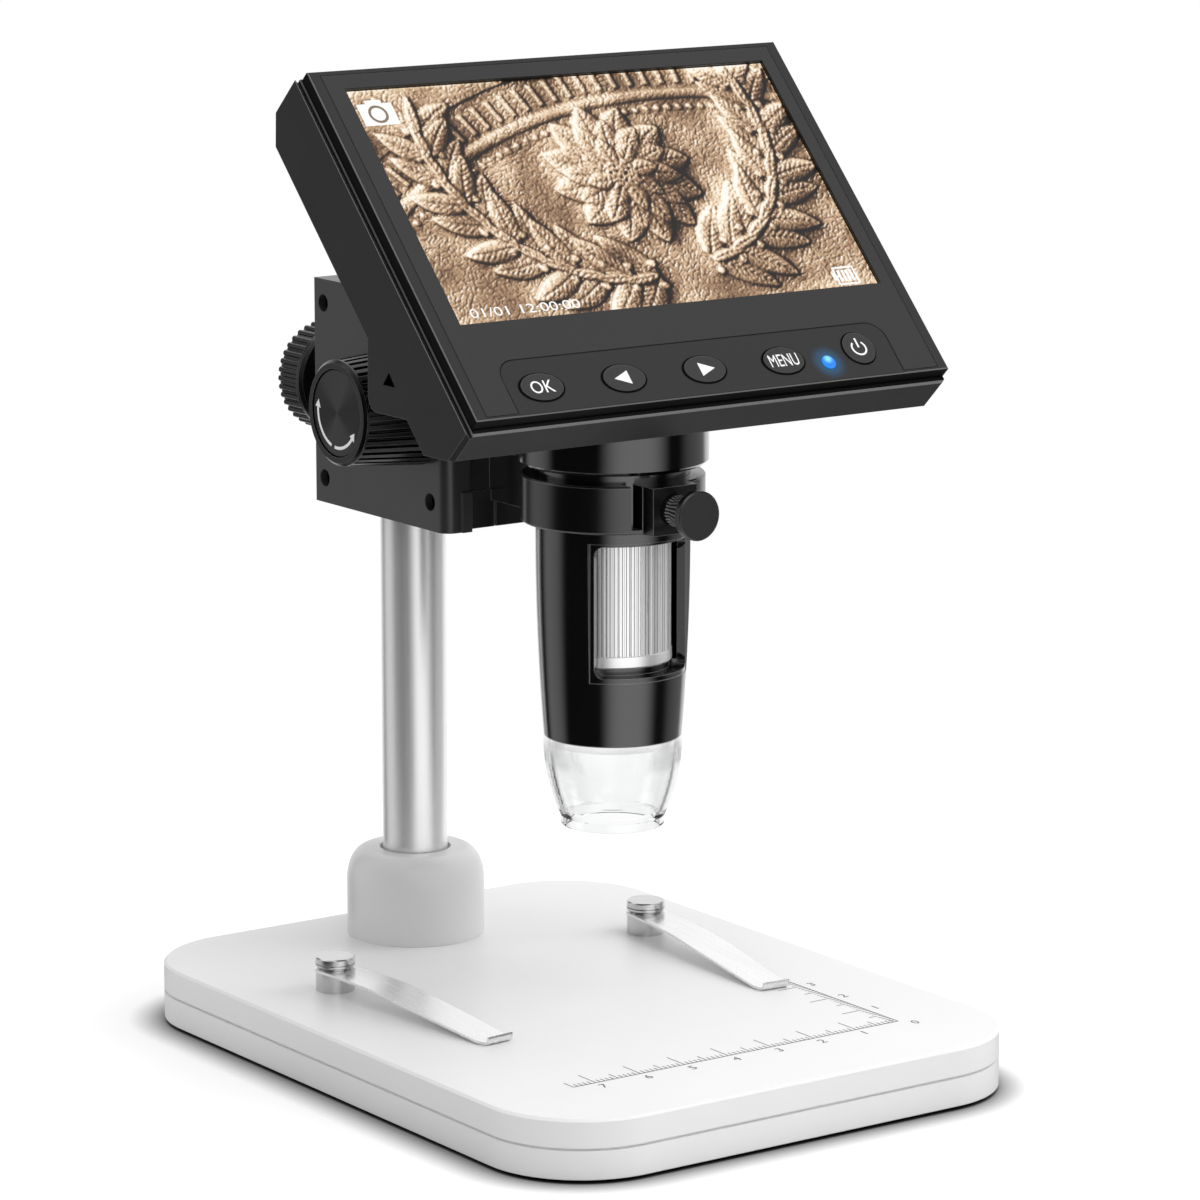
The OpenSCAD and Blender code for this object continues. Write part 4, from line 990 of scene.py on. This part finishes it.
class MICROSCOPE_OT_display(bpy.types.Operator):
    """Finish the front frame and panel, and light the picture with its icons"""

    bl_idname = "microscope.display"
    bl_label = "Display"

    def execute(self, context):
        finishes = context.scene.microscope_finishes
        frame = plastic("frame_black", grey(3), 0.42, grain=0.3, depth=0.08, specular=0.06, painted_edge_shading=grey(2))
        tree = frame.node_tree
        # painted highlight on the rounded edge of the raised strip, and the strip's top a dark grey
        low, high = STRIP_N
        recolour_masked(frame, layer_mask(tree, low, high), grey(105), 0.42)
        recolour_masked(frame, layer_mask(tree, high, 2), grey(50), 0.42, keep_edges=True)
        # painted shade in a ring round each key, and a painted glow of the blue light on the frame round it
        painted_gap_shade = 0.0
        for key in ("ok", "left", "right", "menu", "power"):
            painted_gap_shade = maths(tree, "MAXIMUM", painted_gap_shade, oval_mask(tree, "button_" + key, 0.25 * MM, 0.4 * MM))
        recolour_masked(frame, painted_gap_shade, grey(2), 0.5)
        light = on_display(*on_face("status_light"), PANEL_N).translation
        painted_led_glow = scaled(tree, (0.0, 0.07, 0.16), nearness(tree, light, 4.2 * MM, 1.2 * MM))
        feed(tree, shader_of(frame), {"Emission Color": painted_led_glow, "Emission Strength": 1.0})
        finish_nodes(frame, "front_frame")
        panel = plastic("panel_black", finishes.panel, 0.42, grain=0.3, depth=0.08, specular=0.25, painted_edge_shading=grey(4))
        finish_nodes(panel, "front_panel")
        finish_nodes(plastic("display_grey", grey(20), 0.3), "lcd_module")

        # the lit picture
        picture = bmesh.new()
        bmesh.ops.create_grid(
            picture, x_segments=PICTURE_COLUMNS - 1, y_segments=PICTURE_ROWS - 1, size=1,
            matrix=Matrix.Diagonal((PICTURE_WIDTH / 2, PICTURE_HEIGHT / 2, 1, 1)))
        flat = [tuple(v.co) for v in picture.verts]
        bmesh.ops.transform(picture, matrix=on_display(PICTURE_U, 0, 0.05 * MM), verts=picture.verts)
        made = piece("lit_picture", picture, "head", lit_picture("picture_light", finishes.glow))
        tones = np.array(bronze_relief(PICTURE_WIDTH / MM, PICTURE_HEIGHT / MM, PICTURE_COLUMNS, PICTURE_ROWS))
        spots = np.array(flat)
        column = np.rint((spots[:, 0] / PICTURE_WIDTH + 0.5) * (PICTURE_COLUMNS - 1)).astype(int)
        row = np.rint((spots[:, 1] / PICTURE_HEIGHT + 0.5) * (PICTURE_ROWS - 1)).astype(int)
        colours = np.ones((len(spots), 4), dtype=np.float32)
        colours[:, :3] = tones[row, column]
        made.data.attributes.new("picture", "FLOAT_COLOR", "POINT").data.foreach_set("color", colours.ravel())

        # its icons: camera, charge and time
        icons = bmesh.new()
        for corners in ICON_BARS:
            bar(icons, *(place * MM for place in corners))
        join(icons, lettering("01/01 12:00:00", 2.0 * MM, 24 * MM), Matrix.Translation((-31.5 * MM, -24.4 * MM, 0)))
        printed("picture_icons", icons, on_display(0, 0, 0.07 * MM), "head",
                lit("icon_light", (1, 1, 1), finishes.glow, (0.02, 0.02, 0.02)))
        ring = bmesh.new()
        band(ring, 1.5 * MM, 2.05 * MM, 0, 2 * math.pi, 32)
        printed("picture_icon_ring", ring, on_display(-42.15 * MM, 21.3 * MM, 0.11 * MM), "head",
                lit("icon_shade", (0.22, 0.15, 0.09), finishes.glow, (0.02, 0.02, 0.02)))
        return {"FINISHED"}


class MICROSCOPE_OT_keys(bpy.types.Operator):
    """Finish the keys and the blue light, and print the key symbols"""

    bl_idname = "microscope.keys"
    bl_label = "Keys"

    def execute(self, context):
        finishes = context.scene.microscope_finishes
        marks = context.scene.microscope_marks
        key = plastic("key_black", grey(40), 0.36, grain=0.3, depth=0.06, edge=0.2, specular=0.35, painted_edge_shading=grey(90))
        finish_nodes(key, "button_ok", "button_left", "button_right", "button_menu", "button_power")
        spot = on_face("status_light")
        # painted glint on the blue light, a little up from its middle
        top = on_display(spot.x + 0.1 * MM, spot.y + 0.7 * MM, PANEL_N).translation
        blue = lit("blue_light", (0.0, 0.23, 0.85), 1.0, (0.0, 0.02, 0.1), (top, 1.3 * MM, (0.3, 0.9, 1.0)))
        finish_nodes(blue, "status_light")
        white = ink("key_white", finishes.ink)
        symbols = {"ok": lettering("OK", marks.key_word, 4.9 * MM),
                   "menu": lettering("MENU", marks.key_word, 6.5 * MM)}
        for name, turn in (("left", math.pi), ("right", 0.0)):
            symbols[name] = bmesh.new()
            triangle(symbols[name], 2.0 * MM, (0, 0), turn, (1.1, 0.85, 1))
        power = bmesh.new()
        band(power, 1.35 * MM, 1.72 * MM, math.radians(130), math.radians(280))
        bar(power, -0.2 * MM, 0.1 * MM, 0.2 * MM, 2.2 * MM)
        symbols["power"] = power
        for name, symbol in symbols.items():
            printed("mark_" + name, symbol, on_display(*on_face("button_" + name), KEY_N), "key_" + name,
                    white)
        return {"FINISHED"}


# ---------- studio ----------


def seen_by_eye(tree):
    """1 for rays that come straight from the camera or through clear parts, and 1 for rays off gloss."""
    path = add(tree, "LightPath").outputs
    return maths(tree, "MAXIMUM", path["Is Camera Ray"], path["Is Transmission Ray"]), path["Is Glossy Ray"]


# each box's middle, and the half widths of its even and of its fading part, in degrees to the right
# of the camera, and its strength
SOFT_BOXES = ((-101, 0, 29, 0.6), (27, 0, 46, 1.25), (118, 6, 36, 0.32), (180, 32, 48, 1.0))
CARDS = 0.012  # what gloss sees between the boxes


def soft_boxes(tree, where, front):
    """Brightness that gloss sees all round: soft boxes and a pale back wall between dark cards."""
    heading = vectors(tree, "NORMALIZE", vectors(tree, "MULTIPLY", where, (1, 1, 0)))
    total = CARDS
    for middle, even, fading, strength in SOFT_BOXES:
        turn = front + math.radians(middle)
        facing = vectors(tree, "DOT_PRODUCT", heading, (*polar(1, turn), 0))
        box = ramp(tree, facing, math.cos(math.radians(fading)), math.cos(math.radians(even)), high=strength,
                   smooth=True)
        total = maths(tree, "ADD", total, box)
    rise = split(tree, vectors(tree, "NORMALIZE", where))[2]
    overhead = ramp(tree, rise, 0.4, 0.85, high=0.65, smooth=True)
    return maths(tree, "ADD", total, overhead)


def emission(tree, strength):
    return add(tree, "Emission", {"Strength": strength}).outputs[0]


def ground_material(front):
    """Pale floor that keeps the shadow near the microscope and is plain white further off."""
    material = bpy.data.materials.new("studio_floor")
    tree = emptied(material)
    seen, gloss = seen_by_eye(tree)
    where = own_place(tree)
    far = ramp(tree, vectors(tree, "LENGTH", where), 0.13, 0.3, smooth=True)
    shut = add(tree, "AmbientOcclusion", {"Distance": 0.008}, samples=16, only_local=False).outputs["AO"]
    shade = maths(tree, "POWER", shut, 2.1)
    diffuse = add(tree, "BsdfDiffuse", {"Color": scaled(tree, FLOOR_COLOUR, shade)}).outputs[0]
    lift = emission(tree, maths(tree, "MULTIPLY", maths(tree, "MULTIPLY", seen, shade), 0.3))
    near = add(tree, "AddShader", {0: diffuse, 1: lift}).outputs[0]
    plain = emission(tree, spread(tree, seen, 0.7, 1.0))
    both = add(tree, "MixShader", {0: far, 1: near, 2: plain}).outputs[0]
    boxes = emission(tree, soft_boxes(tree, where, front))
    add(tree, "OutputMaterial", {"Surface": add(tree, "MixShader", {0: gloss, 1: both, 2: boxes}).outputs[0]})
    return material


def lamp(name, power, size, place, target):
    light = bpy.data.lights.new(name, "AREA")
    light.shape = "RECTANGLE"
    light.size, light.size_y = size
    light.energy = power
    made = in_scene(name, light)
    made.location = place
    made.rotation_euler = (target - Vector(place)).to_track_quat("-Z", "Y").to_euler()
    made.visible_glossy = False


class MICROSCOPE_OT_stage(bpy.types.Operator):
    """Lay the pale floor and set the surround, the lamps and the camera"""

    bl_idname = "microscope.stage"
    bl_label = "Studio and camera"

    def execute(self, context):
        scene = context.scene
        studio = scene.microscope_studio
        aim = Vector(studio.aim)
        front = -math.pi / 2 - studio.azimuth
        sheet = bmesh.new()
        bmesh.ops.create_grid(sheet, x_segments=1, y_segments=1, size=4)
        floor = mesh_object("studio_floor", sheet, ground_material(front))

        world = bpy.data.worlds.new("studio")
        scene.world = world
        tree = emptied(world)
        seen, gloss = seen_by_eye(tree)
        heading = add(tree, "TexCoord").outputs["Generated"]
        walls = soft_boxes(tree, heading, front)
        # the even light is stronger from the right and from above than from the left
        side = front + math.radians(80)
        way = Vector((*polar(1, side), 1.3)).normalized()
        lean = maths(tree, "MULTIPLY_ADD", vectors(tree, "DOT_PRODUCT", heading, way), 0.5, 0.5)
        even = maths(tree, "MAXIMUM", seen, maths(tree, "MULTIPLY", spread(tree, lean, 0.05, 1.3), studio.surround))
        sky = add(tree, "Background", {"Color": (1, 1, 1, 1), "Strength": spread(tree, gloss, even, walls)})
        add(tree, "OutputWorld", {"Surface": sky.outputs[0]})

        lamp("key_lamp", studio.key, (0.5, 0.7), (0.86, -0.3, 0.55), aim)
        lamp("fill_lamp", studio.fill, (0.4, 0.9), (-0.9, 0.5, 0.45), aim)
        lamp("top_lamp", studio.top, (1.1, 1.1), (0.25, -0.45, 1.1), aim)

        lens = bpy.data.cameras.new("camera")
        lens.sensor_fit = "HORIZONTAL"
        lens.sensor_width = 36
        lens.lens = studio.lens
        lens.clip_start = 0.01
        camera = in_scene("camera", lens)
        level = math.cos(studio.pitch)
        back = Vector((-math.sin(studio.azimuth) * level, -math.cos(studio.azimuth) * level, math.sin(studio.pitch)))
        camera.location = aim + back * studio.distance
        camera.rotation_euler = (-back).to_track_quat("-Z", "Y").to_euler()
        scene.camera = camera
        scene.view_settings.view_transform = "Standard"
        return {"FINISHED"}


SETTINGS = {
    "microscope_finishes": MicroscopeFinishes, "microscope_marks": MicroscopeMarks,
    "microscope_studio": MicroscopeStudio}

OPERATORS = (
    MICROSCOPE_OT_base, MICROSCOPE_OT_ruler, MICROSCOPE_OT_pole, MICROSCOPE_OT_clips, MICROSCOPE_OT_block,
    MICROSCOPE_OT_focus_knobs, MICROSCOPE_OT_carriage, MICROSCOPE_OT_barrel, MICROSCOPE_OT_focus_wheel,
    MICROSCOPE_OT_shroud, MICROSCOPE_OT_housing, MICROSCOPE_OT_display, MICROSCOPE_OT_keys, MICROSCOPE_OT_stage,
)


class MICROSCOPE_PT_looks(bpy.types.Panel):
    """Lists the settings and the steps that dress the microscope"""

    bl_idname = "MICROSCOPE_PT_looks"
    bl_label = "Microscope looks"
    bl_space_type = "VIEW_3D"
    bl_region_type = "UI"
    bl_category = "Microscope"

    def draw(self, context):
        for name in SETTINGS:
            group = getattr(context.scene, name)
            box = self.layout.box()
            for key in group.bl_rna.properties.keys():
                if key not in ("rna_type", "name"):
                    box.prop(group, key)
        for operator in OPERATORS:
            self.layout.operator(operator.bl_idname)


CLASSES = (*SETTINGS.values(), *OPERATORS, MICROSCOPE_PT_looks)


def register():
    for cls in CLASSES:
        bpy.utils.register_class(cls)
    for name, cls in SETTINGS.items():
        setattr(bpy.types.Scene, name, PointerProperty(type=cls))


def unregister():
    for name in SETTINGS:
        delattr(bpy.types.Scene, name)
    for cls in reversed(CLASSES):
        bpy.utils.unregister_class(cls)


def main():
    register()
    for operator in OPERATORS:
        group, name = operator.bl_idname.split(".")
        getattr(getattr(bpy.ops, group), name)()


if __name__ == "__main__":
    main()
